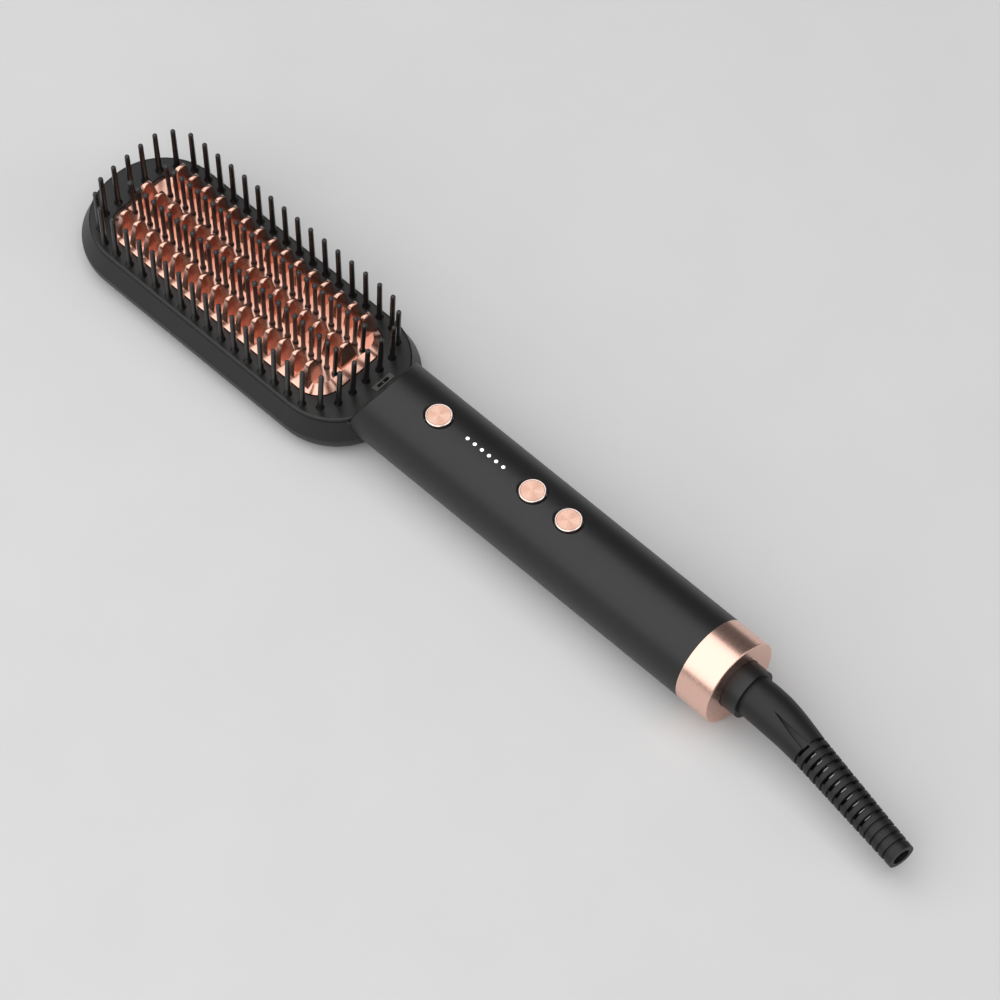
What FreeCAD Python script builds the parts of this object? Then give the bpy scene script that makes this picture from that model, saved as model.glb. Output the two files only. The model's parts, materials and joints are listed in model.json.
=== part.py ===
import FreeCAD, Part
import math
import os

import Sketcher
from FreeCAD import Placement, Rotation, Vector

# Hair straightener brush. Millimetres, +Z up. The brush lies on its back with
# its bristles up. X runs along it, from the head's tip to the cord's strain
# relief, and the origin is under the middle of its length, on the table.
# Places along the brush are counted back from the seam between the handle
# tube and its tail cap, because the pieces are fitted from there.

doc = FreeCAD.newDocument("StraightenerBrush")
sheet = doc.addObject("Spreadsheet::Sheet", "Sizes")

DRIVING_SIZES = (
    # handle tube
    ("handle_radius", 16.0, "outer radius of the round handle"),
    ("handle_wall", 2.2, "wall of the handle tube"),
    ("end_wall", 2.2, "wall that closes the handle tube over the neck"),
    # head tray, measured from the seam
    ("rim_reach", 285.2, "seam to the tray's rim at the head's tip"),
    ("rim_half", 24.9, "half width of the tray's rim"),
    ("rim_height", 15.2, "height of the tray's rim"),
    ("belly_out", 2.9, "how far the tray's side stands out below the rim"),
    ("belly_height", 7.9, "height of the tray's widest line"),
    ("back_round", 7.0, "rounding between the tray's side and its back"),
    ("tip_corner", 23.6, "corner radius of the rim at the tip"),
    ("neck_corner", 22.9, "corner radius of the rim at the neck"),
    ("neck_reach", 148.9, "seam to the tray's rim at the neck"),
    ("tray_wall", 2.0, "wall of the head tray"),
    ("boss_rise", 2.6, "height of the screw bosses over the tray's floor"),
    # comb frame
    ("frame_top", 16.7, "height of the comb frame's face"),
    ("frame_depth", 3.5, "comb frame's face to the end of its spigot"),
    ("seam_gap", 0.5, "height of the shadow line under the frame"),
    ("seam_depth", 0.8, "depth of the shadow line under the frame"),
    ("frame_round", 0.9, "rounding of the frame's outer edge"),
    ("fit_gap", 0.2, "clearance of pieces that slip together"),
    ("neck_draft", 10.0, "lean of the handle's front wall, degrees"),
    ("neck_round", 0.8, "rounding of that wall's upper edge"),
    ("passage_rise", 0.6, "neck passage over the comb frame's foot"),
    # heating plate
    ("plate_tip_inset", 12.8, "rim's end at the tip to the plate"),
    ("plate_neck_inset", 15.5, "rim's end at the neck to the plate"),
    ("plate_half", 18.0, "half width of the plate"),
    ("plate_corner", 9.5, "corner radius of the plate"),
    ("plate_gap", 0.4, "dark gap between plate and frame"),
    ("plate_foot", 15.3, "height of the plate's lower edge"),
    ("deck_height", 19.5, "height of the plate's deck"),
    ("deck_wall", 2.2, "thickness of the plate's deck"),
    ("bevel_in", 3.0, "plate bevel, inwards"),
    ("bevel_down", 2.6, "plate bevel, downwards"),
    ("plate_wall", 3.0, "wall around the plate's underside"),
    # fins
    ("fin_far_inset", 9.0, "plate's far end to the first fin of an outer row"),
    ("fin_near_inset", 8.28, "plate's near end to the last fin of an outer row"),
    ("fin_row", 13.2, "centre line to an outer fin row"),
    ("fin_height", 10.2, "height of a fin over the deck"),
    ("fin_base", 3.0, "thickness of a fin at its base"),
    ("fin_edge", 1.5, "thickness of a fin at its edge"),
    ("outer_fin_width", 7.0, "width of an outer fin at its base"),
    ("middle_fin_width", 8.0, "width of a middle fin at its base"),
    ("fin_edge_width", 4.3, "width of a fin at its edge"),
    ("fin_crown", 1.5, "height of a fin's rounded crown"),
    # inner combs
    ("inner_row", 6.7, "centre line to an inner bristle row"),
    ("inner_far_inset", 6.08, "plate's far end to the longer inner comb"),
    ("inner_near_inset", 3.9, "plate's near end to the inner combs"),
    ("inner_tip", 36.8, "height of the inner bristles' tips"),
    ("inner_radius", 0.8, "radius of an inner bristle"),
    ("ball_radius", 1.05, "radius of an inner bristle's ball tip"),
    ("collar_radius", 1.1, "radius of an inner bristle's collar"),
    ("collar_height", 1.2, "height of an inner bristle's collar"),
    ("comb_bar_height", 1.8, "height of the bar under the inner bristles"),
    ("comb_bar_half", 1.7, "half width of that bar"),
    # outer bristles
    ("bristle_tip", 37.2, "height of the outer bristles' tips"),
    ("bristle_radius", 0.9, "radius of an outer bristle"),
    ("bristle_foot", 1.55, "radius of an outer bristle's flared foot"),
    ("foot_height", 3.2, "height of the flared foot"),
    ("ring_out", 2.8, "plate's far end to the ring of bristles"),
    ("ring_near_out", 4.4, "plate's near end to the ring of bristles"),
    ("ring_side_out", 4.0, "plate's side to the ring of bristles"),
    ("ring_corner", 12.0, "corner radius of the ring of bristles"),
    ("ring_spacing", 6.53, "spacing of the bristles around the ring"),
    ("peg_gap", 0.05, "clearance of a bristle's peg in its hole"),
    ("fan_far", 1.5, "lean of the outer bristles at the tip, degrees"),
    ("fan_near", 5.5, "lean of the outer bristles at the neck, degrees"),
    ("inner_fan_far", 4.0, "lean of the inner bristles at the tip, degrees"),
    ("inner_fan_near", 8.0, "lean of the inner bristles at the neck, degrees"),
    # heater
    ("film_thick", 0.2, "insulating film"),
    ("film_side", 0.4, "how far film and clamp stand out of the heater's sides"),
    ("electrode_thick", 0.4, "electrode strip"),
    ("heater_half", 4.2, "half width of the heating blocks"),
    ("heater_gap", 3.5, "gap between two heating blocks"),
    ("heater_near_inset", 7.3, "plate's near end to the heating blocks"),
    ("film_out", 1.0, "how far the insulating film stands out of the heater's ends"),
    ("tab_out", 1.3, "how far an electrode's tab stands out of the heater's end"),
    ("tab_side", 3.0, "centre line to an electrode's tab"),
    ("tab_half", 1.0, "half width of an electrode's tab"),
    ("ptc_thick", 1.6, "thickness of a heating block"),
    ("clamp_thick", 0.6, "spring plate that presses the heater up"),
    ("clamp_foot", 6.0, "length of the clamp's feet"),
    ("shield_wall", 2.0, "wall of the heat shield"),
    ("shield_out", 1.5, "how far the heat shield reaches past the plate"),
    ("shield_post_inset", 11.0, "plate's end to a post of the heat shield"),
    ("shield_post_side", 12.0, "centre line to a post of the heat shield"),
    ("lead_way_half", 4.5, "half width of the shield's opening for the leads"),
    ("sensor_inset", 16.0, "plate's near end to the heat sensors"),
    ("sensor_side", 11.0, "centre line to a heat sensor"),
    ("sensor_length", 6.0, "length of the thermistor's pad"),
    ("sensor_width", 4.0, "width of the thermistor's pad"),
    ("sensor_pad", 0.8, "thickness of the thermistor's pad"),
    ("bead_radius", 1.1, "radius of the thermistor's bead"),
    ("bead_length", 4.0, "length of the thermistor's bead"),
    ("fuse_radius", 1.5, "radius of the thermal fuse"),
    ("fuse_length", 9.0, "length of the thermal fuse"),
    ("fuse_lead", 4.0, "length of the fuse's leads"),
    ("fuse_wire", 0.4, "radius of the fuse's leads"),
    # buttons
    ("button_radius", 4.64, "radius of a button"),
    ("button_gap", 0.3, "running gap around a button"),
    ("button_rise", 0.15, "how far a button stands over the handle"),
    ("button_travel", 0.6, "travel of a button"),
    ("dimple_depth", 0.9, "depth of the dished rim around a button"),
    ("dimple_out", 1.2, "width of the dished rim around a button"),
    ("flange_out", 1.0, "how far a button's flange stands out"),
    ("flange_thick", 0.8, "thickness of a button's flange"),
    ("power_inset", 21.09, "handle's far end to the power button"),
    ("minus_pitch", 16.75, "plus button to the minus button"),
    ("plus_reach", 64.15, "seam to the plus button"),
    ("switch_side", 6.0, "side of a tact switch"),
    ("switch_height", 2.4, "height of a tact switch's body"),
    ("plunger_radius", 1.7, "radius of a switch plunger"),
    ("plunger_gap", 0.08, "running gap of a plunger in its switch"),
    ("plunger_rest", 0.1, "clearance under a pressed plunger"),
    # lights
    ("light_pitch", 3.33, "spacing of the lights"),
    ("light_radius", 0.8, "radius of a light"),
    ("light_rise", 0.02, "how far a light stands over the handle"),
    ("chip_length", 2.0, "length of a light chip"),
    ("chip_width", 1.25, "width of a light chip"),
    ("chip_height", 0.8, "height of a light chip"),
    ("pipe_over_chip", 0.3, "light pipe over the chips"),
    ("pipe_thick", 1.5, "thickness of the light pipe's bar"),
    ("pipe_half", 1.4, "half width of the light pipe's bar"),
    ("pipe_end", 2.4, "last light to the light pipe's end"),
    ("pipe_leg", 1.1, "length of the light pipe's legs"),
    ("pipe_leg_half", 2.2, "half width of the light pipe's legs"),
    # boards
    ("board_thick", 1.6, "thickness of a circuit board"),
    ("control_drop", 9.4, "handle's top to the control board's underside"),
    ("carrier_thick", 2.0, "thickness of the board carrier"),
    ("carrier_gap", 0.3, "carrier to the end of the tube's bore"),
    ("carrier_near", 22.0, "seam to the carrier's near end"),
    ("carrier_post_half", 2.0, "half length of a carrier post"),
    ("carrier_post_side", 1.5, "half width of a carrier post"),
    ("board_post_inset", 5.0, "power board's end to a carrier post"),
    ("board_post_row", 8.0, "centre line to a carrier post"),
    ("board_end_gap", 2.0, "carrier's far end to the control board"),
    ("board_side_gap", 0.6, "control board to the tube's bore"),
    ("board_past_plus", 14.0, "plus button to the near end of the control board"),
    ("processor_reach", 101.0, "seam to the processor"),
    ("processor_length", 7.0, "length of the processor"),
    ("processor_width", 5.0, "width of the processor"),
    ("processor_height", 1.4, "height of the processor"),
    ("processor_inset", 1.0, "board's edge to the processor"),
    ("power_drop", 13.0, "control board to the power board"),
    ("power_board_gap", 1.6, "power board's edge to the tube's bore"),
    ("power_board_far", 92.0, "seam to the far end of the power board"),
    ("power_board_near", 24.0, "seam to the near end of the power board"),
    ("filter_reach", 78.0, "seam to the filter capacitor"),
    ("filter_length", 16.0, "length of the filter capacitor"),
    ("filter_width", 7.0, "width of the filter capacitor"),
    ("filter_side", -3.0, "centre line to the filter capacitor's middle"),
    ("filter_height", 7.6, "height of the filter capacitor"),
    ("storage_reach", 56.0, "seam to the storage capacitor"),
    ("storage_length", 12.0, "length of the storage capacitor"),
    ("storage_radius", 3.6, "radius of the storage capacitor"),
    ("storage_side", 4.5, "centre line to the storage capacitor"),
    ("triac_length", 10.0, "length of the triac"),
    ("triac_side", -9.0, "centre line to the triac's outer face"),
    ("triac_width", 4.4, "width of the triac"),
    ("triac_height", 6.4, "height of the triac"),
    ("triac_tab", 1.2, "thickness of the triac's tab"),
    ("triac_tab_rise", 2.0, "height of the triac's tab over its body"),
    ("terminal_reach", 40.0, "seam to the terminal block"),
    ("terminal_length", 7.5, "length of the terminal block"),
    ("terminal_half", 5.2, "half width of the terminal block"),
    ("terminal_height", 7.0, "height of the terminal block"),
    ("lead_radius", 0.4, "radius of a heater lead"),
    ("lead_side", 6.4, "centre line to a heater lead in the handle"),
    ("lead_drop", 1.05, "plate's wall to the place where the leads turn down"),
    ("lead_low", 8.0, "height of the leads' lower bend under the plate"),
    ("lead_neck", 7.0, "height of the leads in the neck"),
    ("lead_rise", 34.0, "run over which the leads rise to the power board"),
    ("lead_end", 8.0, "power board's end to the leads' ends"),
    ("contact_gap", 0.05, "a lead's end to what it is soldered to"),
    # ion maker
    ("outlet_inset", 6.4, "frame's end to the ion outlet's middle"),
    ("outlet_side", 3.6, "how far the outlet lies off the centre line"),
    ("outlet_length", 2.4, "outlet, along the brush"),
    ("outlet_width", 8.6, "outlet, across the brush"),
    ("outlet_rise", 0.3, "how far the outlet stands over the frame"),
    ("outlet_ledge", 0.6, "ledge in the frame that carries the outlet"),
    ("outlet_slit", 2.4, "width of a slit in the outlet"),
    ("outlet_edge", 0.6, "outlet's edge to its slits"),
    ("needle_radius", 0.45, "radius of the ion needle"),
    ("needle_foot", 4.0, "length of the ion needle below the frame"),
    ("needle_point", 1.2, "length of the ion needle's point"),
    ("holder_half", 1.8, "half length of the needle's holder"),
    ("holder_side", 2.2, "half width of the needle's holder"),
    ("holder_height", 3.0, "height of the needle's holder"),
    ("ion_lead_radius", 0.5, "radius of the ion lead"),
    ("ion_lead_drop", 3.0, "straight start of the ion lead"),
    ("ion_lead_low", 6.5, "height of the ion lead in the neck"),
    ("ion_lead_bend", 6.0, "neck's end to the ion lead's lower bend"),
    ("ion_lead_height", 13.0, "height of the ion lead at the ion maker"),
    ("ion_lead_run", 4.0, "straight end of the ion lead"),
    ("ion_inset", 10.24, "carrier's far end to the ion maker"),
    ("ion_length", 30.0, "length of the ion maker"),
    ("ion_half", 6.5, "half width of the ion maker"),
    ("ion_height", 10.0, "height of the ion maker"),
    # tail
    ("cap_band", 13.55, "width of the tail cap's band"),
    ("cap_wall", 2.0, "tail cap's end wall"),
    ("cap_web", 2.0, "tail cap's web between its band and its spigot"),
    ("spigot_length", 8.0, "tail cap's spigot in the tube"),
    ("cap_edge", 0.5, "rounding of the tail cap's edge"),
    ("bush_length", 7.0, "seam to the near end of the swivel bearing"),
    ("bush_sleeve", 1.0, "seam to the far end of the swivel bearing"),
    ("axial_gap", 0.3, "clearance of the swivel along its axis"),
    ("stub_radius", 9.2, "radius of the swivel stub"),
    ("stub_out", 6.45, "how far the stub stands out of the cap"),
    ("swivel_gap", 0.2, "running gap around the stub"),
    ("journal_radius", 6.0, "radius of the swivel's journal"),
    ("journal_gap", 0.05, "running clearance of the journal"),
    ("slip_ring_radius", 5.8, "outer radius of a slip ring"),
    ("core_radius", 4.4, "radius of the swivel's inner core"),
    ("core_reach", 17.0, "seam to the far end of the swivel's core"),
    ("clip_thick", 1.0, "thickness of the retaining clip"),
    ("clip_out", 2.2, "how far the clip stands out of the journal"),
    ("live_reach", 11.5, "seam to the live slip ring"),
    ("neutral_reach", 16.0, "seam to the neutral slip ring"),
    ("slip_ring_width", 3.0, "width of a slip ring"),
    ("contact_far", 17.0, "seam to the far end of the contact block"),
    ("contact_half", 4.0, "half width of the contact block"),
    ("contact_drop", 2.4, "slip ring to the top of the contact block"),
    ("finger_width", 1.4, "width of a contact finger"),
    ("finger_thick", 0.5, "thickness of a contact finger"),
    ("finger_half", 3.0, "half length of a contact finger's foot"),
    ("finger_touch", 1.0, "how far a contact finger reaches past the axis"),
    ("mains_radius", 0.6, "radius of a mains lead"),
    ("mains_side", 3.65, "centre line to a mains lead"),
    ("mains_start", 3.0, "straight start of a mains lead"),
    ("mains_rise", 4.35, "how far the mains leads rise to the terminal block"),
    ("mains_bend", 9.5, "terminal block to the mains leads' upper bend"),
    ("wire_bore", 2.0, "radius of the wire bore in the swivel"),
    # strain relief
    ("boot_radius", 7.6, "radius of the strain relief at the stub"),
    ("boot_straight", 1.8, "straight start of the strain relief"),
    ("boot_bend", 9.6, "bend of the strain relief, degrees"),
    ("boot_bend_radius", 120.0, "radius of that bend"),
    ("boot_neck", 5.5, "bend to the first groove"),
    ("boot_roll", 24.4, "turn of the bend about the handle, degrees"),
    ("groove_count", 15.0, "grooves of the strain relief"),
    ("windowed_grooves", 11.0, "grooves that are open to the bore"),
    ("groove_pitch", 3.15, "spacing of the grooves"),
    ("groove_width", 1.3, "width of a groove"),
    ("groove_depth", 0.7, "depth of a groove"),
    ("window_width", 5.0, "width of an opening in a groove"),
    ("window_roll", 13.0, "turn of the openings towards the bend, degrees"),
    ("rib_radius_start", 6.35, "radius of the strain relief at the first groove"),
    ("rib_radius_end", 4.95, "radius of the strain relief at its end"),
    ("fold_depth", 1.1, "depth of the wedge-shaped fold before the grooves"),
    ("boot_collar", 0.8, "extra length of the last rib"),
    ("cord_radius", 3.2, "radius of the bore for the cord"),
    # screws
    ("screw_radius", 1.1, "radius of a screw's shank"),
    ("screw_head", 2.2, "radius of a screw's head"),
    ("post_radius", 2.4, "radius of a screw post"),
    ("screw_sink", 1.6, "depth of a screw head's recess"),
    ("screw_head_height", 1.2, "height of a screw's head"),
    ("screw_length", 7.5, "length of a screw"),
    ("slot_length", 2.6, "length of a screw's cross slot"),
    ("slot_width", 0.5, "width of a screw's cross slot"),
    ("slot_depth", 0.6, "depth of a screw's cross slot"),
    ("tip_screw_inset", 5.9, "rim's end at the tip to its screws"),
    ("tip_screw_side", 6.0, "centre line to a screw at the tip"),
    ("neck_screw_inset", 10.8, "rim's end at the neck to its screws"),
    ("neck_screw_side", 9.5, "centre line to a screw at the neck"),
)

for row, (alias, value, meaning) in enumerate(DRIVING_SIZES, start=1):
    sheet.set("A%d" % row, alias)
    sheet.set("B%d" % row, str(value))
    sheet.set("C%d" % row, meaning)
    sheet.setAlias("B%d" % row, alias)
doc.recompute()


class Size:
    """A number and the expression that the sheet gives for it."""

    def __init__(self, value, text):
        self.value = float(value)
        self.text = text

    def __float__(self):
        return self.value

    def __add__(self, other):
        other = as_size(other)
        return Size(self.value + other.value, "(%s + %s)" % (self.text, other.text))

    def __sub__(self, other):
        other = as_size(other)
        return Size(self.value - other.value, "(%s - %s)" % (self.text, other.text))

    def __mul__(self, other):
        other = as_size(other)
        return Size(self.value * other.value, "(%s * %s)" % (self.text, other.text))

    def __truediv__(self, other):
        other = as_size(other)
        return Size(self.value / other.value, "(%s / %s)" % (self.text, other.text))

    def __neg__(self):
        return Size(-self.value, "(-1 * %s)" % self.text)

    def __radd__(self, other):
        return as_size(other) + self

    def __rsub__(self, other):
        return as_size(other) - self

    def __rmul__(self, other):
        return as_size(other) * self


def as_size(number):
    """Plain numbers join a formula as they are."""
    if isinstance(number, Size):
        return number
    return Size(number, repr(float(number)))


def root(size):
    return Size(math.sqrt(size.value), "sqrt(%s)" % size.text)


def sine(size):
    return Size(math.sin(math.radians(size.value)), "sin(%s)" % size.text)


def cosine(size):
    return Size(math.cos(math.radians(size.value)), "cos(%s)" % size.text)


class SheetSizes:
    """Each driving size by its name, as a Size that is read from the sheet."""

    def __init__(self):
        for alias, _value, _meaning in DRIVING_SIZES:
            setattr(self, alias, Size(sheet.get(alias), "Sizes." + alias))


d = SheetSizes()

# Places that several pieces share.
axis_height = d.handle_radius
tube_bore = d.handle_radius - d.handle_wall
belly_reach = d.rim_reach + d.belly_out
boot_tail = d.boot_neck + d.groove_count * d.groove_pitch + d.boot_collar
boot_reach = (
    d.cap_band + d.stub_out + d.boot_straight
    + d.boot_bend_radius * sine(d.boot_bend)
    + boot_tail * cosine(d.boot_bend)
    + d.rib_radius_end * sine(d.boot_bend)
)
seam = (belly_reach - boot_reach) / 2.0
plate_hollow = d.deck_height - d.deck_wall
frame_foot = d.frame_top - d.frame_depth
handle_top = d.handle_radius * 2.0
rise_over_rim = handle_top - d.rim_height
handle_reach = d.neck_reach - d.fit_gap - rise_over_rim * sine(d.neck_draft) / cosine(d.neck_draft)
bore_reach = handle_reach - d.end_wall
carrier_reach = bore_reach - d.carrier_gap
ion_reach = carrier_reach - d.ion_inset
outlet_reach = d.neck_reach + d.outlet_inset
plate_far = d.rim_reach - d.plate_tip_inset
plate_near = d.neck_reach + d.plate_neck_inset
plate_length = plate_far - plate_near
power_reach = handle_reach - d.power_inset
minus_reach = d.plus_reach + d.minus_pitch
control_height = handle_top - d.control_drop
control_top = control_height + d.board_thick
power_board_height = control_height - d.power_drop
contact_top = axis_height - d.slip_ring_radius - d.contact_drop
pieces = []

# How many of each small piece there are.
OUTER_FINS = 15
MIDDLE_FINS = 16
FAR_COMB_COUNT = 26
NEAR_COMB_COUNT = 27
HEATER_BLOCKS = 4
LIGHT_COUNT = 6
OUTLET_SLITS = 2

# Each row fills its run evenly, and the lights lie midway between the buttons.
fin_pitch = (plate_length - d.fin_far_inset - d.fin_near_inset) / (OUTER_FINS - 1.0)
inner_pitch = (plate_length - d.inner_far_inset - d.inner_near_inset) / (NEAR_COMB_COUNT - 1.0)
light_reach = (power_reach + minus_reach + d.light_pitch * (LIGHT_COUNT - 1.0)) / 2.0

# A cutting tool reaches this far past the face that it opens, and two shapes
# that become one solid overlap by the smaller one.
PAST = 1.0
BITE = 0.3


def from_seam(reach):
    """X of a place that lies this far from the seam towards the head."""
    return seam - reach


def chord_half(radius, height):
    """Half width of a round section at a height over the table."""
    return root(radius * radius - (height - axis_height) * (height - axis_height))


def bind(thing, **formulas):
    for prop, size in formulas.items():
        thing.setExpression(prop, as_size(size).text)
    return thing


def place(thing, x=0.0, y=0.0, z=0.0, rotation=None):
    """Puts a primitive at a place that follows the sheet."""
    x, y, z = as_size(x), as_size(y), as_size(z)
    turn = rotation if rotation is not None else Rotation()
    thing.Placement = Placement(Vector(x.value, y.value, z.value), turn)
    for name, size in (("x", x), ("y", y), ("z", z)):
        thing.setExpression("Placement.Base." + name, size.text)
    return thing


def named(label, thing):
    """Marks an object as one of the brush's pieces."""
    thing.Label = label
    pieces.append((label, thing))
    return thing


def block(name, x, y, z):
    """A box between two places on each axis."""
    box = doc.addObject("Part::Box", name)
    low = [as_size(pair[0]) for pair in (x, y, z)]
    high = [as_size(pair[1]) for pair in (x, y, z)]
    bind(box, Length=high[0] - low[0], Width=high[1] - low[1], Height=high[2] - low[2])
    return place(box, *low)


TO_TAIL = Rotation(Vector(0, 1, 0), 90)


def rod(name, radius, x, y=0.0, z=None):
    """A cylinder along the brush, between two places."""
    cylinder = doc.addObject("Part::Cylinder", name)
    start, end = as_size(x[0]), as_size(x[1])
    bind(cylinder, Radius=radius, Height=end - start)
    return place(cylinder, start, y, axis_height if z is None else z, TO_TAIL)


def post(name, radius, x, y, z):
    """An upright cylinder, between two heights."""
    cylinder = doc.addObject("Part::Cylinder", name)
    low, high = as_size(z[0]), as_size(z[1])
    bind(cylinder, Radius=radius, Height=high - low)
    return place(cylinder, x, y, low)


def joined(name, things):
    fuse = doc.addObject("Part::MultiFuse", name)
    fuse.Shapes = things
    return fuse


def cut(name, base, tool):
    result = doc.addObject("Part::Cut", name)
    result.Base = base
    result.Tool = tool
    return result


def common(name, first, second):
    result = doc.addObject("Part::MultiCommon", name)
    result.Shapes = [first, second]
    return result


def solids(label, shapes):
    """A piece whose shape is worked out here from the sheet's sizes."""
    feature = doc.addObject("Part::Feature", label)
    feature.Shape = shapes[0] if len(shapes) == 1 else Part.makeCompound(shapes)
    return named(label, feature)


def helper_shape(name, shape):
    feature = doc.addObject("Part::Feature", name)
    feature.Shape = shape
    return feature


def outline_sketch(body, name, x, half, corners):
    """A rectangle along the brush with its own corner radius at each end."""
    sketch = body.newObject("Sketcher::SketchObject", name)
    plane = [f for f in body.Origin.OriginFeatures if f.Role == "XY_Plane"][0]
    sketch.AttachmentSupport = [(plane, "")]
    sketch.MapMode = "FlatFace"
    start, end = as_size(x[0]), as_size(x[1])
    half = as_size(half)
    far, near = as_size(corners[0]), as_size(corners[1])
    x0, x1, w = start.value, end.value, half.value
    r0, r1 = far.value, near.value

    def line(ax, ay, bx, by):
        return Part.LineSegment(Vector(ax, ay, 0), Vector(bx, by, 0))

    def corner(cx, cy, radius, first):
        circle = Part.Circle(Vector(cx, cy, 0), Vector(0, 0, 1), radius)
        return Part.ArcOfCircle(circle, math.radians(first), math.radians(first + 90))

    sketch.addGeometry([
        line(x0 + r0, -w, x1 - r1, -w),
        corner(x1 - r1, r1 - w, r1, -90),
        line(x1, r1 - w, x1, w - r1),
        corner(x1 - r1, w - r1, r1, 0),
        line(x1 - r1, w, x0 + r0, w),
        corner(x0 + r0, w - r0, r0, 90),
        line(x0, w - r0, x0, r0 - w),
        corner(x0 + r0, r0 - w, r0, 180),
    ], False)
    for edge in range(8):
        sketch.addConstraint(Sketcher.Constraint("Tangent", edge, 2, (edge + 1) % 8, 1))
    for edge, kind in ((0, "Horizontal"), (2, "Vertical"), (4, "Horizontal"), (6, "Vertical")):
        sketch.addConstraint(Sketcher.Constraint(kind, edge))
    for edge, size in ((1, near), (3, near), (5, far), (7, far)):
        rule = sketch.addConstraint(Sketcher.Constraint("Radius", edge, size.value))
        sketch.setExpression("Constraints[%d]" % rule, size.text)
    for kind, edge, size in (("DistanceX", 6, start), ("DistanceX", 2, end),
                             ("DistanceY", 0, -half), ("DistanceY", 4, half)):
        rule = sketch.addConstraint(Sketcher.Constraint(kind, -1, 1, edge, 1, size.value))
        sketch.setExpression("Constraints[%d]" % rule, size.text)
    return sketch


def face_at(feature, height):
    """Name of a feature's flat level face at a height in its body."""
    for number, face in enumerate(feature.Shape.Faces, start=1):
        box = face.BoundBox
        if abs(box.ZMax - box.ZMin) < 1e-5 and abs(box.ZMax - height) < 1e-5:
            return "Face%d" % number
    raise RuntimeError("no level face on " + feature.Name)


def slab(name, x, half, corners, z, foot_round=None, top_round=None, top_bevel=None, draft=None):
    """A padded outline, with its sides leaned and its edges finished if asked."""
    body = doc.addObject("PartDesign::Body", name)
    low, high = as_size(z[0]), as_size(z[1])
    height = high - low
    sketch = outline_sketch(body, name + "_outline", x, half, corners)
    pad = body.newObject("PartDesign::Pad", name + "_pad")
    pad.Profile = sketch
    bind(pad, Length=height)
    if draft is not None:
        bind(pad, TaperAngle=draft)
    doc.recompute()
    last = pad
    if foot_round is not None:
        fillet = body.newObject("PartDesign::Fillet", name + "_foot_round")
        fillet.Base = (last, [face_at(last, 0.0)])
        bind(fillet, Radius=foot_round)
        doc.recompute()
        last = fillet
    if top_round is not None:
        fillet = body.newObject("PartDesign::Fillet", name + "_top_round")
        fillet.Base = (last, [face_at(last, height.value)])
        bind(fillet, Radius=top_round)
        doc.recompute()
        last = fillet
    if top_bevel is not None:
        inwards, downwards = top_bevel
        chamfer = body.newObject("PartDesign::Chamfer", name + "_top_bevel")
        chamfer.Base = (last, [face_at(last, height.value)])
        chamfer.ChamferType = "Two distances"
        bind(chamfer, Size=downwards, Size2=inwards)
        doc.recompute()
        last = chamfer
    body.Tip = last
    return place(body, 0.0, 0.0, low)


def lathe(profile):
    """Turns an outline of (radius, height) points about the Z axis."""
    points = [Vector(float(r), 0, float(h)) for r, h in profile]
    face = Part.Face(Part.makePolygon(points + [points[0]]))
    return face.revolve(Vector(0, 0, 0), Vector(0, 0, 1), 360)


def upright(shape, x, y, z, lean=0.0):
    """A copy of a shape on its foot, leaned along the brush in degrees."""
    copy = shape.copy()
    turn = Rotation(Vector(0, 1, 0), lean)
    copy.Placement = Placement(Vector(x, y, z), turn).multiply(copy.Placement)
    return copy


# ---------------------------------------------------------------- bristles

def ring_ends():
    """X of the two ends of the ring of outer bristles, and its half width."""
    far, near = from_seam(plate_far + d.ring_out), from_seam(plate_near - d.ring_near_out)
    return float(far), float(near), float(d.plate_half + d.ring_side_out)


def fan_lean(x, at_far_end, at_near_end):
    """Lean of a bristle in degrees: upright in the middle, most at the ends."""
    far, near, _half = ring_ends()
    along = (2 * x - far - near) / (near - far)
    return along * abs(along) * (at_near_end if along > 0 else at_far_end)


def ring_places():
    """Feet of the outer bristles, evenly spaced from the neck to the tip."""
    far, near, half = ring_ends()
    corner = float(d.ring_corner)
    end_run = half - corner
    arc_run = corner * math.pi / 2
    side_run = near - far - 2 * corner
    total = 2 * end_run + 2 * arc_run + side_run
    spaces = round(total / float(d.ring_spacing))
    feet = []
    for step in range(spaces + 1):
        run = total * step / spaces
        back = total - run
        if run <= end_run:
            foot = (near, run)
        elif run <= end_run + arc_run:
            turn = (run - end_run) / corner
            foot = (near - corner * (1 - math.cos(turn)), end_run + corner * math.sin(turn))
        elif back <= end_run:
            foot = (far, back)
        elif back <= end_run + arc_run:
            turn = (back - end_run) / corner
            foot = (far + corner * (1 - math.cos(turn)), end_run + corner * math.sin(turn))
        else:
            foot = (near - corner - (run - end_run - arc_run), half)
        feet.append(foot)
        if 0 < step < spaces:
            feet.append((foot[0], -foot[1]))
    return feet


TIP_STEPS = 5
FLARE_STEPS = ((0.28, 0.45), (0.6, 0.15))


def outer_bristle_places():
    """Foot and lean of each outer bristle."""
    far, near = float(d.fan_far), float(d.fan_near)
    return [(x, y, fan_lean(x, far, near)) for x, y in ring_places()]


def outer_profile():
    """Outline of an outer bristle over its foot: a flare and a round tip."""
    radius, flare = float(d.bristle_radius), float(d.bristle_foot - d.bristle_radius)
    rise, length = float(d.foot_height), float(d.bristle_tip - d.frame_top)
    outline = [(0.0, -FOOT_SINK), (radius + flare, -FOOT_SINK), (radius + flare, 0.0)]
    outline += [(radius + out * flare, up * rise) for up, out in FLARE_STEPS]
    for step in range(TIP_STEPS):
        turn = math.pi / 2 * step / TIP_STEPS
        outline.append((radius * math.cos(turn), length - radius * (1 - math.sin(turn))))
    return outline + [(0.0, length)]


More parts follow.
